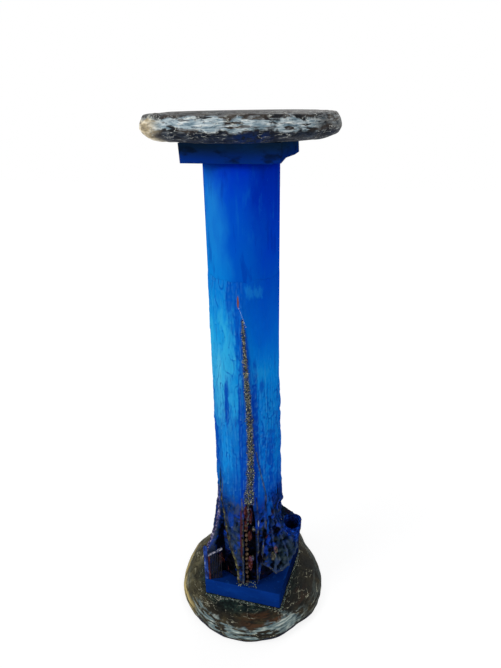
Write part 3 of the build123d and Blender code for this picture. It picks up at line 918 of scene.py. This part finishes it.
def cup_rings(points):
    """Distance from the cup's own axis, height, and the height of its wavy mouth on that side."""
    aside, ahead = points[..., 0] - cup_middle[0], points[..., 1] - cup_middle[1]
    lip = cup_rim + 3 * np.sin(np.arctan2(ahead, aside) * 2 + 0.8) + 0.16 * ahead
    return np.hypot(aside, ahead), points[..., 2], lip


def cup_distance(points, inset):
    """Signed distance from the cup's round, tapered form, less an inset."""
    away, height, lip = cup_rings(points)
    wide = np.interp(height, [cup_foot, cup_foot + 12, cup_foot + 30, cup_rim], [8, 15, 19, 19.5]) - inset
    top = np.where(inset > 0, height * 0 - 9, height - lip)
    return np.maximum(np.maximum(away - wide, cup_foot + inset - height), top)


def web_distance(points):
    """Signed distance from the web of paste that ties the back of the cup to the post."""
    x, y, z = points[..., 0], points[..., 1], points[..., 2]
    thick = np.abs(y - 11) - 2.2
    slope = (z - 216 + 0.75 * (x - 84)) * 0.8
    return np.maximum(np.maximum(thick, slope), np.maximum(np.maximum(60 - x, x - 97), 150 - z))


def lip_distance(points):
    """Signed distance from the thick, uneven roll of paste round the cup's mouth."""
    away, height, lip = cup_rings(points)
    return np.hypot(away - lip_reach, height - lip) - lip_thick


def niche_distance(points):
    """Signed distance from the hollow of the niche, which has a round head."""
    spin = math.radians(niche_turn)
    across = points[..., 0] * math.cos(spin) + points[..., 1] * math.sin(spin)
    out = points[..., 0] * math.sin(spin) - points[..., 1] * math.cos(spin)
    half = np.interp(points[..., 2], [79, 244, niche_head - 6], [niche_half_width, niche_half_width - 1, 6])
    sides = np.abs(across) - half
    head = np.hypot(across, points[..., 2] - (niche_head - 6)) - 6
    hole = np.where(points[..., 2] > niche_head - 6, head, sides)
    return np.maximum(hole, niche_floor - out)


def foot_field(points):
    """Below 0 inside the foot of the relief, above 0 outside it, in millimetres."""
    turn = np.degrees(np.arctan2(points[..., 0], -points[..., 1]))
    out = np.hypot(points[..., 0], points[..., 1])
    plain = np.clip(out - from_map(map_reach, turn, points[..., 2]), -4, 4)
    near_cup = (cup_distance(points, 0) < 6) | (web_distance(points) < 3)
    busy = (out > post_radius - 3) & ((plain < 3.9) | near_cup)
    whole = np.full(plain.shape, 4.0)
    points, out, field = points[busy], out[busy], plain[busy]
    height = points[..., 2]
    coarse = lumps(points * 0.001, 0.008, 34)
    fine = lumps(points * 0.001, 0.0035, 35)
    field = np.minimum(field, web_distance(points) + 0.9 * coarse + 0.5 * fine)
    field = np.minimum(field, cup_distance(points, 0) + 1.5 * coarse + 0.6 * fine)
    field = np.minimum(field, lip_distance(points) + 1.6 * coarse + 0.9 * fine)
    field = np.maximum(field, -niche_distance(points) + 0.9 * coarse + 0.5 * fine)
    field = np.maximum(field, -cup_distance(points, cup_wall) + 0.6 * fine)
    for middle, half in hollows:
        cut_in = -ball(points, middle, half) + 0.9 * fine
        field = np.maximum(field, np.where(out > 62.5, cut_in, -4))
    for middle, half, _ in scraps:
        field = np.minimum(field, ball(points, middle, half) + 0.7 * fine)
    field = np.maximum(field, plinth_level + 0.1 - height)
    field = np.maximum(field, post_radius + 0.1 - out)
    whole[busy] = np.maximum(field, height - foot_top)
    return whole


def skin_of(field, low, step):
    """The surface where a field on a grid of points passes 0: one point in each small cube that it
    crosses, and a square across each edge between an inner and an outer grid point."""
    inner = field < 0
    cubes = tuple(n - 1 for n in field.shape)
    total = np.zeros((*cubes, 3))
    count = np.zeros(cubes)
    for first in np.ndindex(2, 2, 2):
        for axis in range(3):
            if first[axis]:
                continue
            second = tuple(1 if a == axis else v for a, v in enumerate(first))
            near = field[tuple(slice(v, n + v) for v, n in zip(first, cubes))]
            far = field[tuple(slice(v, n + v) for v, n in zip(second, cubes))]
            crossed = (near < 0) != (far < 0)
            share = near[crossed] / (near[crossed] - far[crossed])
            place = np.zeros((len(share), 3)) + np.array(first)
            place[:, axis] += share
            total[crossed] += place
            count += crossed
    used = count > 0
    number = np.full(cubes, -1)
    number[used] = np.arange(used.sum())
    base = np.stack(np.nonzero(used), axis=-1)
    points = (base + total[used] / count[used][:, None]) * step + low
    squares = []
    for axis in range(3):
        one, two = (axis + 1) % 3, (axis + 2) % 3
        ahead = [slice(None)] * 3
        ahead[axis] = slice(1, None)
        here = [slice(None)] * 3
        here[axis] = slice(None, -1)
        turns = inner[tuple(here)] != inner[tuple(ahead)]
        spots = np.stack(np.nonzero(turns), axis=-1)
        spots = spots[(spots[:, one] > 0) & (spots[:, two] > 0)]
        spots = spots[(spots[:, one] < cubes[one]) & (spots[:, two] < cubes[two])]
        around = []
        for back_one, back_two in ((1, 1), (0, 1), (0, 0), (1, 0)):
            cell = spots.copy()
            cell[:, one] -= back_one
            cell[:, two] -= back_two
            around.append(number[tuple(cell.T)])
        square = np.stack(around, axis=-1)
        inside_first = inner[tuple(spots.T)]
        squares.append(np.where(inside_first[:, None], square, square[:, ::-1]))
    return points, np.concatenate(squares)


# How far the tan or lavender paint on some of the ridges spreads to each side, in millimetres.
crest_widths = {"porch_fin": 3.4, "flank_left": 1.6, "sail_left": 3.3, "sail_right": 1.6, "jamb_right": 1.3,
                "rib_right": 2.6}


def foot_shades(points):
    """How much of each special colour the foot has at each point, among them painted highlights on its
    crests and painted shade in its creases, its hollows, the cup and under the veil and the porch.
    """
    turn = np.degrees(np.arctan2(points[:, 0], -points[:, 1]))
    out = np.hypot(points[:, 0], points[:, 1])
    height = points[:, 2]
    patchy = lumps(points * 0.001, 0.010, 41)
    crest, olive, pink, red = np.zeros((4, len(points)))
    for rib in ridges:
        middle, far = along_line(rib, height)
        aside = np.abs(swept(turn, middle)) * np.radians(out)
        wide = crest_widths.get(rib["name"], 0)
        at_crest = np.exp(-((aside / max(wide, 0.1)) ** 2)) * (out > far - 4) * (far > 0)
        if rib["name"] in ("porch_fin", "flank_left"):
            pink = np.maximum(pink, at_crest)
        elif rib["name"] == "sail_left":
            olive = np.maximum(olive, np.clip(at_crest * 1.5, 0, 1) * np.clip(1.1 + 0.5 * patchy, 0, 1))
        elif wide:
            olive = np.maximum(olive, at_crest * np.clip(0.7 + 1.0 * patchy, 0, 1))
    crest = np.maximum(crest, np.clip(spire_share(turn, height, 0.95) * 1.6 - 0.35, 0, 1))
    hem = hem_at(turn)
    hem_edge = 0.8 * np.exp(-(((height - hem - 1) / 2.8) ** 2)) * (out > 75) * (turn < 80)
    olive = np.maximum(olive, hem_edge * np.clip(0.8 + 0.8 * patchy, 0, 1))
    veil = rise(turn, 31, 6) * fall(turn, 112, 8) * rise(out, 78, 8)
    veil = veil * rise(cup_distance(points, 0), 1, 6)
    # Hollow is painted shade: the niche, the cut hollows and the lower inside of the cup.
    hollow = 1 - rise(niche_distance(points), 0.2, 2)
    inside = 1 - rise(cup_distance(points, cup_wall), 0.2, 1.2)
    hollow = np.maximum(hollow, inside * np.clip((205 - height) / 25, 0, 0.8))
    web = (1 - rise(web_distance(points), 0.5, 2)) * (out > 70)
    veil = np.maximum(veil, np.maximum(inside, web))
    for middle, half in hollows:
        hollow = np.maximum(hollow, 1 - rise(ball(points, middle, half), 0.3, 2))
    # Under the veil and inside the porch the paste is painted near black as painted shade.
    under = (height < hem - 2) & (turn > 33) & (turn < 108) & (out < 72)
    porch = (turn > -42) & (turn < -8) & (out < 69) & (height < 148)
    hollow = np.maximum(hollow, np.where(under | porch, 0.9, 0))
    for middle, half, is_red in scraps:
        near = 1 - np.clip(ball(points, middle, half) / 1.5, 0, 1)
        if is_red:
            red = np.maximum(red, near)
        else:
            crest = np.maximum(crest, 0.8 * near)
            hollow = hollow * (1 - near)
    # Crests of the foot are marked for a painted highlight and its creases for painted shade.
    bend = from_map(map_crest, turn, height) * (np.abs(out - from_map(map_reach, turn, height)) < 2)
    return {
        "crest": crest * (1 - hollow), "olive": olive * (1 - hollow), "pink": pink, "veil": veil,
        "hollow": hollow * (1 - red), "red": red,
        "flank": np.clip(spire_share(turn, height, 2.1) * 1.7 - 0.3, 0, 1),
        "wear_and_highlight": np.clip(bend / 1.4, 0, 1), "deep": np.clip(-bend / 1.0 - 0.2, 0, 1),
        "lip": 1 - np.clip(np.minimum(lip_distance(points), cup_distance(points, 0) + 0.5) / 1.5, 0, 1),
    }


foot_axes = [np.arange(a, b + foot_step, foot_step) for a, b in zip(foot_low, foot_high)]
foot_grid = np.stack(np.meshgrid(*foot_axes, indexing="ij"), axis=-1)
foot_points, foot_faces = skin_of(foot_field(foot_grid), foot_low, foot_step)
foot_tints = foot_shades(foot_points)
foot_points = np.clip(foot_points * 0.001, relief_low, relief_high)
set_piece("relief_foot", foot_points, foot_faces.tolist(), "relief", relief_paint, foot_tints)


# The crust on the spire: grains of sand and ground glass, pressed into the wet paste and dabbed with
# gold and silver, and a row of tiny white dots beside the spire's tip.
def grow(name, points, edges, faces, inputs, finish, spread):
    """A piece grown from a plain mesh by Geometry Nodes. Inputs are its named numbers. The function
    spread takes a function that adds nodes and the sockets of those numbers, and says which shape
    goes on which points, and how large."""
    mesh = bpy.data.meshes.new(name)
    mesh.from_pydata(points, edges, faces)
    piece = show(name, mesh)
    tree = bpy.data.node_groups.new(name, "GeometryNodeTree")
    tree.interface.new_socket("Geometry", in_out="INPUT", socket_type="NodeSocketGeometry")
    for socket, value in inputs.items():
        kind = "NodeSocketInt" if isinstance(value, int) else "NodeSocketFloat"
        tree.interface.new_socket(socket, in_out="INPUT", socket_type=kind)
    tree.interface.new_socket("Geometry", in_out="OUTPUT", socket_type="NodeSocketGeometry")
    add = functools.partial(add_node, tree)
    placed = add("GeometryNodeInstanceOnPoints", spread(add, add("NodeGroupInput", {}).outputs))
    real = add("GeometryNodeRealizeInstances", {"Geometry": placed.outputs["Instances"]})
    paint = add("GeometryNodeSetMaterial", {"Geometry": real.outputs["Geometry"], "Material": finish})
    add("NodeGroupOutput", {"Geometry": paint.outputs["Geometry"]})
    work = piece.modifiers.new("work", "NODES")
    work.node_group = tree
    for item in tree.interface.items_tree:
        if item.in_out == "INPUT" and item.name in inputs:
            work[item.identifier] = inputs[item.name]
    made = bpy.data.meshes.new_from_object(piece.evaluated_get(bpy.context.evaluated_depsgraph_get()))
    piece.modifiers.remove(work)
    piece.data = made
    return piece


def random_size(add, smallest, largest, seed):
    """A size along each axis, drawn for each shape between two sizes."""
    sockets = {0: smallest, 1: largest, "Seed": seed}
    return add("FunctionNodeRandomValue", sockets, data_type="FLOAT_VECTOR").outputs[0]


def evenly(add, start, mode, length):
    """Points spread evenly along the line that the plain mesh is."""
    line = add("GeometryNodeMeshToCurve", {"Mesh": start["Geometry"]}).outputs["Curve"]
    return add("GeometryNodeResampleCurve", {"Curve": line, **length}, mode=mode).outputs["Curve"]


def spread_grains(name, strip_points, strip_faces, density, smallest, largest, seed, finish):
    """Grains scattered over a strip of surface, which becomes the grains themselves."""
    def spread(add, start):
        sockets = {"Mesh": start["Geometry"], "Density": start["Density"], "Seed": seed}
        scatter = add("GeometryNodeDistributePointsOnFaces", sockets).outputs
        grain = add("GeometryNodeMeshIcoSphere", {"Radius": 1.0, "Subdivisions": 1}).outputs["Mesh"]
        size = random_size(add, start["Smallest"], start["Largest"], seed + 1)
        return {"Points": scatter["Points"], "Instance": grain, "Rotation": scatter["Rotation"],
                "Scale": size}

    inputs = {"Density": float(density), "Smallest": smallest, "Largest": largest}
    return grow(name, strip_points, [], strip_faces, inputs, finish, spread)


def grain_finish():
    paint = Finish("crust_grains", 0.55, 0.08)
    tones = paint.ramp(paint.cloud(0.0022, detail=1.0), [
        (0.28, "071230"), (0.40, "10306c"), (0.47, "1f3c4c"), (0.54, "4a574a"), (0.61, "86886e"),
        (0.72, "dedfd2")])
    blue_gap = paint.between(paint.cloud(0.008, shift=2.0), 0.52, 0.58)
    paint.colour = paint.over(tones, "0a2e80", blue_gap, 0.8)
    return paint.close(paint.cloud(0.001), 0.0002)


grains = grain_finish()
crust_foot, crust_head, crust_row = 286.0, 662.0, 3.0
strip_points, strip_faces = [], []
for row, level in enumerate(np.arange(crust_foot, crust_head, crust_row)):
    middle, reach = along_line(spire, level)
    half = math.degrees(np.interp(level, [290, 340, 500, 600, 676], [9.0, 7.0, 5.6, 3.6, 1.9]) / reach)
    half *= 1 + 0.22 * math.sin(level / 9) + 0.16 * math.sin(level / 3.7)
    for step in range(5):
        turn = middle + (step / 2 - 1) * half
        drop = (step / 2 - 1) ** 2 * 2.2
        surface = float(from_map(map_reach, np.array(turn), np.array(level)))
        strip_points.append(ring_points(turn, level, max(surface - 0.2, reach - drop - 1.2)).tolist())
    if row:
        for step in range(4):
            at = 5 * (row - 1) + step
            strip_faces.append((at, at + 1, at + 6, at + 5))
spire_grains = spread_grains("spire_grains", strip_points, strip_faces, 330000, 0.0004, 0.0015, 3, grains)
attach(spire_grains)


def bead_row(name, places, radius, spacing, uneven, seed, finish):
    """Beads of a radius set out evenly along a line through places, each a little uneven."""
    def spread(add, start):
        points = evenly(add, start, "LENGTH", {"Length": start["Spacing"]})
        cuts = 3 if radius > 0.002 else 1
        bead = add("GeometryNodeMeshIcoSphere", {"Subdivisions": cuts, "Radius": start["Radius"]})
        size = random_size(add, start["Smallest"], (1, 1, 1), seed)
        return {"Points": points, "Instance": bead.outputs["Mesh"], "Scale": size}

    inputs = {"Radius": radius, "Spacing": spacing, "Smallest": uneven}
    edges = [(i, i + 1) for i in range(len(places) - 1)]
    return grow(name, places, edges, [], inputs, finish, spread)


def dot_finish():
    paint = Finish("white_dots", 0.5, 0.2)
    paint.colour = paint.ramp(paint.cloud(0.002), [(0.4, "a4c4e6"), (0.6, "e4eef6")])
    return paint.close(paint.cloud(0.001), 0.0001)


dot_places = [ring_points(7.5 + 9.5 * i / 5, 682.0 - 32.0 * i / 5, 62.6).tolist() for i in range(6)]
tip_dots = bead_row("tip_dots", dot_places, 0.0008, 0.0036, 0.6, 4, dot_finish())
attach(tip_dots)


# The beads in the niche: dull tan and brown wooden beads on a cord, glued upright against the left
# side of the niche and dirtied with the same paint.
bead_low, bead_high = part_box("bead_string")
bead_middle = ((bead_low[0] + bead_high[0]) / 2, (bead_low[1] + bead_high[1]) / 2)
bead_radius = (bead_high[0] - bead_low[0]) / 2


def bead_finish():
    paint = Finish("bead_paint", 0.5, 0.2)
    paint.colour = paint.ramp(paint.cloud(0.007, detail=4.0), [
        (0.32, "100e10"), (0.45, "33261f"), (0.56, "5a4635"), (0.68, "8a7355")])
    return paint.close(paint.cloud(0.002), 0.0004)


bead_foot = plinth_level * 0.001 + bead_radius
bead_count = 13
bead_step = (bead_high[2] - bead_radius - 0.002 - bead_foot) / (bead_count - 1)
bead_places = []
for bead in range(bead_count):
    sway = 0.0006 * math.sin(bead * 2.1)
    bead_places.append((bead_middle[0] + sway, bead_middle[1] - 0.5 * sway, bead_foot + bead * bead_step))
niche_beads = bead_row("niche_beads", bead_places, bead_radius, bead_step * 0.999, 0.78, 9, bead_finish())
niche_beads.data.shade_smooth()
attach(niche_beads, "bead_string")


# The porch: a little screen of dark sticks between a blue post on the outside and a red one, with a
# whitish rail on top that climbs towards the shaft. All are scraps of wood, glued and painted.
porch_corner = (-0.0657, -0.0798)
porch_turn = math.radians(22.5)
porch_along = (math.cos(porch_turn), math.sin(porch_turn))
porch_thick = 0.0032
porch_foot = 0.0791


def porch_spot(along, back):
    """Place on the plan of the porch, along the screen from its outer corner and back from it."""
    return (porch_corner[0] + along * porch_along[0] - back * porch_along[1],
            porch_corner[1] + along * porch_along[1] + back * porch_along[0])


def stick_finish(name, stops, size=0.006):
    paint = Finish(name, 0.6, 0.15)
    paint.colour = paint.ramp(paint.cloud(size, detail=4.0, stretch=(1, 1, 2.5)), stops)
    return paint.close(paint.cloud(0.003, stretch=(1, 1, 3)), 0.0005)


post_blue = stick_finish("post_blue", [(0.34, "081648"), (0.5, "10307e"), (0.62, "244c9e"), (0.76, "8b9abc")])
post_red = stick_finish("post_red", [(0.36, "1c0e12"), (0.5, "42191a"), (0.62, "5c2a26"), (0.75, "6d4a48")])
stick_dark = stick_finish("stick_dark", [(0.38, "07080b"), (0.55, "14141c"), (0.7, "2c2a3c")])
rail_pale = stick_finish("rail_pale", [(0.34, "23283a"), (0.46, "555a70"), (0.6, "9b9aa6"),
                                       (0.75, "c8c5c8")], 0.004)

post_outline = [(-0.0760, -0.0800), porch_spot(-0.0004, 0.0), porch_spot(-0.0004, 0.007), (-0.0755, -0.0715)]
soft_block("porch_outer_post", post_outline, porch_foot, 0.1665, "porch_grille",
           post_blue, 0.0012, 0.0010, 61)
red_outline = [porch_spot(0.0, 0.0), porch_spot(0.0034, 0.0), porch_spot(0.0034, porch_thick),
               porch_spot(0.0, porch_thick)]
soft_block("porch_red_post", red_outline, porch_foot, 0.1430, "porch_grille", post_red,
           0.0006, 0.0004, 62)


def spread_sticks(add, start):
    """The dark sticks, evenly along the screen and each a little thicker or thinner."""
    points = evenly(add, start, "COUNT", {"Count": start["Sticks"]})
    sockets = {"Radius": start["Thickness"], "Depth": start["Height"], "Vertices": 8, "Side Segments": 6}
    stick = add("GeometryNodeMeshCylinder", sockets).outputs["Mesh"]
    half = add("ShaderNodeMath", {0: start["Height"], 1: 0.5}, operation="MULTIPLY").outputs[0]
    lift = add("ShaderNodeCombineXYZ", {"Z": half}).outputs[0]
    raised = add("GeometryNodeTransform", {"Geometry": stick, "Translation": lift}).outputs["Geometry"]
    size = random_size(add, (0.75, 0.75, 0.9), (1.1, 1.1, 1.0), 5)
    return {"Points": points, "Instance": raised, "Scale": size}


stick_first, stick_last, stick_back = 0.0052, 0.0262, 0.0016
stick_ends = [(*porch_spot(along, stick_back), porch_foot) for along in (stick_first, stick_last)]
stick_inputs = {"Sticks": 7, "Thickness": 0.0011, "Height": 0.070}
sticks = grow("porch_sticks", stick_ends, [(0, 1)], [], stick_inputs, stick_dark, spread_sticks)
attach(sticks, "porch_grille")

rail_outline = [porch_spot(-0.001, -0.0006), porch_spot(0.030, -0.0006), porch_spot(0.030, 0.0040),
                porch_spot(-0.001, 0.0040)]
rail = soft_block("porch_rail", rail_outline, 0.1425, 0.1470, "porch_grille", rail_pale,
                  0.0008, 0.0008, 63)
rail_points = np.empty(len(rail.data.vertices) * 3)
rail.data.vertices.foreach_get("co", rail_points)
rail_points = rail_points.reshape(-1, 3)
rail_run = (rail_points[:, :2] - porch_corner) @ porch_along
rail_points[:, 2] += 0.5 * np.clip(rail_run, 0, None)
rail.data.vertices.foreach_set("co", rail_points.ravel())
rail.data.update()


# Grit: sand and crumbs of paste that fell while the foot was modelled. They lie on the plinth under
# the niche and in a line along its foot, and were painted over in silver green.
def grit_finish():
    paint = Finish("grit_paint", 0.55, 0.25)
    paint.colour = paint.ramp(paint.cloud(0.003, detail=1.0), [
        (0.3, "1c2a33"), (0.45, "4a5a58"), (0.56, "7f8a7c"), (0.66, "a9ae9a"), (0.78, "8fb0d4")])
    return paint.close(paint.cloud(0.001), 0.0002)


grit = grit_finish()
grit_level = 0.0382
grit_reach = 0.0042
foot_line_points = []
foot_line_faces = []
line_corners = [(-0.0765, -0.0812), (0.0848, -0.0812), (0.0965, 0.078)]
for a, b in zip(line_corners, line_corners[1:]):
    at = len(foot_line_points)
    run = (b[0] - a[0], b[1] - a[1])
    long = math.hypot(*run)
    out = (run[1] / long * grit_reach, -run[0] / long * grit_reach)
    foot_line_points += [(*a, grit_level), (a[0] + out[0], a[1] + out[1], grit_level)]
    foot_line_points += [(b[0] + out[0], b[1] + out[1], grit_level), (*b, grit_level)]
    foot_line_faces.append((at, at + 1, at + 2, at + 3))
foot_grit = spread_grains("foot_grit", foot_line_points, foot_line_faces, 300000, 0.0004, 0.0013, 13, grit)
attach(foot_grit)

crumb_level = 0.0793
crumb_points = [(-0.010, -0.0795, crumb_level), (0.036, -0.0795, crumb_level), (0.030, -0.060, crumb_level),
                (-0.006, -0.070, crumb_level)]
crumbs = spread_grains("plinth_crumbs", crumb_points, [(0, 1, 2, 3)], 60000, 0.0005, 0.0019, 17, grit)
attach(crumbs)


# The capital. It is a square block like the plinth, sawn a little out of upright, in the darkest
# navy, with its lower right edge knocked off. Its upper part, under the top slab, and its right face
# are painted darker still as painted shade.
def capital_finish():
    paint = Finish("capital_paint", 0.6, 0.0)
    # The upper part of the block, under the overhanging top slab, is painted darker: painted shade.
    low = paint.between(paint.height, 0.93, 0.905)
    paint.colour = paint.over("122a46", "07308a", low)
    mottle = paint.between(paint.cloud(0.03, stretch=(2, 2, 1)), 0.45, 0.7)
    paint.coat("0c356e", mottle, 0.6)
    dark = paint.between(paint.cloud(0.02, stretch=(2, 2, 0.7), shift=4.0), 0.52, 0.66)
    paint.coat("0a1522", dark, 0.7)
    # The right face is painted nearly black: painted shade on the side away from the light.
    right = paint.between(paint.x, 0.076, 0.079)
    paint.coat("07101f", right)
    return paint.close(paint.cloud(0.008, stretch=(4, 4, 0.6)), 0.0005)


capital_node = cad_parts["capital_block"]
capital_node.data.materials.clear()
capital_node.data.materials.append(capital_finish())


# The slab on top. It is made like the one on the floor, with a bevel on both sides of its rim. Its
# upper face is dark. Silver is rubbed along the rim and laid stronger at the front as a painted
# highlight, cream on the lower rim at the left is a painted highlight, and the underside is painted
# dark as painted shade.
top_low, top_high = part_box("top_disc")
top_radius = (top_high[0] - top_low[0]) / 2 + 0.0002
top_under, top_face = top_low[2], top_high[2]


def top_hewing(rings):
    """Long dents and short lumps round the rim."""
    edge = rise(np.hypot(rings[..., 0], rings[..., 1]), 0.105, 0.025)
    slow = 0.0019 * lumps(rings, 0.05, 51) + 0.0013 * lumps(rings, 0.02, 52)
    return edge * (slow + 0.0007 * lumps(rings, 0.008, 53)) - 0.0012 * edge


def top_finish():
    paint = Finish("top_paint", 0.5, 0.05)
    angle = paint.angle()
    dark = paint.ramp(paint.cloud(0.025, detail=6.0), [
        (0.3, "0e1014"), (0.43, "202226"), (0.53, "342e2b"), (0.63, "47413b"), (0.76, "686a6c")])
    face = paint.between(paint.height, top_face - 0.004, top_face - 0.001)
    paint.colour = paint.over(dark, paint.ramp(paint.cloud(0.04, detail=6.0, shift=3.0),
                                               [(0.35, "1f2022"), (0.65, "46423f")]), face)
    flakes = paint.between(paint.streak(0.018, 0.0035, detail=7.0, shift=11.0), 0.54, 0.60)
    paint.coat("8d9498", flakes, 0.5)
    wave = paint.times(paint.less(paint.cloud(0.022, detail=5.0, shift=6.0), 0.5), 0.03)
    band = paint.band(paint.plus(paint.height, wave), top_under + 0.0175, top_under + 0.032, 0.0018)
    rub = paint.between(paint.streak(0.030, 0.005, detail=8.0), 0.40, 0.47)
    # Silver rubbed along the rim; its strength at the front, fading on the far right, is a painted highlight
    # where the light falls.
    silver = paint.ramp(paint.streak(0.016, 0.0028, detail=7.0, shift=4.0), [
        (0.3, "4b6372"), (0.43, "7f949f"), (0.54, "b3c0c6"), (0.66, "e8ece9")])
    right = paint.between(angle, 1.15, 0.88)
    share = paint.times(band, rub, paint.sum("MAXIMUM", right, 0.2))
    paint.coat(silver, share)
    # Cream on the lower rim at the left: a painted highlight on the side the light comes from.
    cream = paint.ramp(paint.streak(0.03, 0.005, detail=7.0, shift=2.0), [
        (0.3, "6a6050"), (0.42, "a89878"), (0.54, "dccdae"), (0.66, "fff8e4")])
    left = paint.band(angle, -1.95, -0.62, 0.18)
    low_band = paint.band(paint.plus(paint.height, wave), top_under + 0.002, top_under + 0.031, 0.003)
    paint.coat(cream, left, low_band, 0.95)
    crack = paint.lines(paint.streak(0.020, 0.006, detail=4.0, shift=14.0), 0.016)
    paint.coat("0f141c", crack, 0.8)
    # The underside bevel is painted dark: painted shade under the slab.
    under = paint.between(paint.plus(paint.height, paint.times(wave, 0.3)), top_under + 0.0185,
                          top_under + 0.0125)
    under = paint.times(under, paint.between(angle, -0.74, -0.48))
    paint.coat(paint.ramp(paint.cloud(0.012, detail=6.0),
                          [(0.35, "0a0f18"), (0.55, "182231"), (0.7, "3c4450")]), under)
    blue = paint.times(paint.band(angle, 0.2, 0.55, 0.08),
                       paint.between(paint.height, top_under + 0.02, top_under + 0.01))
    ragged = paint.between(paint.cloud(0.008, detail=5.0, shift=5.0), 0.42, 0.52)
    paint.coat("0c2450", blue, ragged)
    scratch = paint.lines(paint.streak(0.025, 0.006, detail=5.0, shift=8.0), 0.010)
    rubbed = paint.between(paint.cloud(0.014, shift=1.0), 0.46, 0.56)
    paint.coat("d4d8d2", scratch, rubbed)
    bumps = paint.plus(paint.streak(0.025, 0.0045, detail=8.0),
                       paint.times(paint.cloud(0.004, detail=6.0), 0.7))
    return paint.close(bumps, 0.0026)


top_outline = smooth_line([
    (0.002, top_under), (top_radius - 0.034, top_under), (top_radius - 0.008, top_under + 0.006),
    (top_radius, top_under + 0.015), (top_radius, top_under + 0.024),
    (top_radius - 0.003, top_under + 0.032), (top_radius - 0.010, top_face - 0.0004),
    (0.002, top_face - 0.0004),
], slab_step)
top_points, top_faces = lathe(top_outline, slab_facets, top_hewing)
top_points = np.clip(top_points, top_low, top_high)
set_piece("top_slab", top_points, top_faces, "top_disc", top_finish())


# The room for the picture: a pale floor, a white surround and large soft lamps.
def plain(name, code):
    material = bpy.data.materials.new(name)
    material.use_nodes = True
    material.node_tree.nodes["Principled BSDF"].inputs["Base Color"].default_value = tint(code)
    material.node_tree.nodes["Principled BSDF"].inputs["Roughness"].default_value = 0.9
    return material


floor_mesh = bpy.data.meshes.new("floor")
floor_half = 6
floor_corners = [(-floor_half, -floor_half, 0), (floor_half, -floor_half, 0), (floor_half, floor_half, 0),
                 (-floor_half, floor_half, 0)]
floor_mesh.from_pydata(floor_corners, [], [(0, 1, 2, 3)])
floor = show("floor", floor_mesh)
floor_white = plain("floor_white", "f4f4f4")
floor_tree = floor_white.node_tree
floor_nodes = functools.partial(add_node, floor_tree)
seen = floor_nodes("ShaderNodeLightPath", {}).outputs["Is Camera Ray"]
glow = floor_nodes("ShaderNodeEmission", {"Color": (1, 1, 1, 1), "Strength": 1.09}).outputs[0]
spot = floor_nodes("ShaderNodeNewGeometry", {}).outputs["Position"]
away = floor_nodes("ShaderNodeVectorMath", {0: spot}, operation="LENGTH").outputs["Value"]
fade_range = {"Value": away, "From Min": 0.5, "From Max": 1.8, "To Min": 0.76, "To Max": 1.0}
fade = floor_nodes("ShaderNodeMapRange", fade_range).outputs[0]
share = floor_nodes("ShaderNodeMath", {0: seen, 1: fade}, operation="MULTIPLY").outputs[0]
diffuse = floor_tree.nodes["Principled BSDF"].outputs[0]
blend = floor_nodes("ShaderNodeMixShader", {0: share, 1: diffuse, 2: glow}).outputs[0]
floor_tree.links.new(blend, floor_tree.nodes["Material Output"].inputs["Surface"])
floor_mesh.materials.append(floor_white)

world = bpy.data.worlds.new("surround")
bpy.context.scene.world = world
world.use_nodes = True
air = world.node_tree
background = air.nodes["Background"]
background.inputs["Color"].default_value = (1, 1, 1, 1)
ray = add_node(air, "ShaderNodeLightPath", {}).outputs
bright = ray["Is Camera Ray"]
for kind in ("Is Glossy Ray", "Is Transmission Ray"):
    bright = add_node(air, "ShaderNodeMath", {0: bright, 1: ray[kind]}, operation="MAXIMUM").outputs[0]
level = add_node(air, "ShaderNodeMapRange", {"Value": bright, "To Min": 0.5, "To Max": 1.0})
air.links.new(level.outputs[0], background.inputs["Strength"])

lamp_places = [
    ("lamp_left", (-1.6, -1.5, 2.0), 1.2, 32), ("lamp_right", (1.9, -1.4, 1.6), 1.2, 12),
    ("lamp_back", (0.3, 2.0, 2.2), 1.4, 16),
]
for name, place, size, power in lamp_places:
    lamp = show(name, bpy.data.lights.new(name, "AREA"))
    lamp.data.size = size
    lamp.data.energy = power
    lamp.location = place
    toward = Matrix.Translation(place).inverted() @ Matrix.Translation((0, 0, 0.5))
    lamp.rotation_euler = toward.translation.to_track_quat("-Z", "Y").to_euler()

bpy.context.scene.view_settings.view_transform = "Standard"
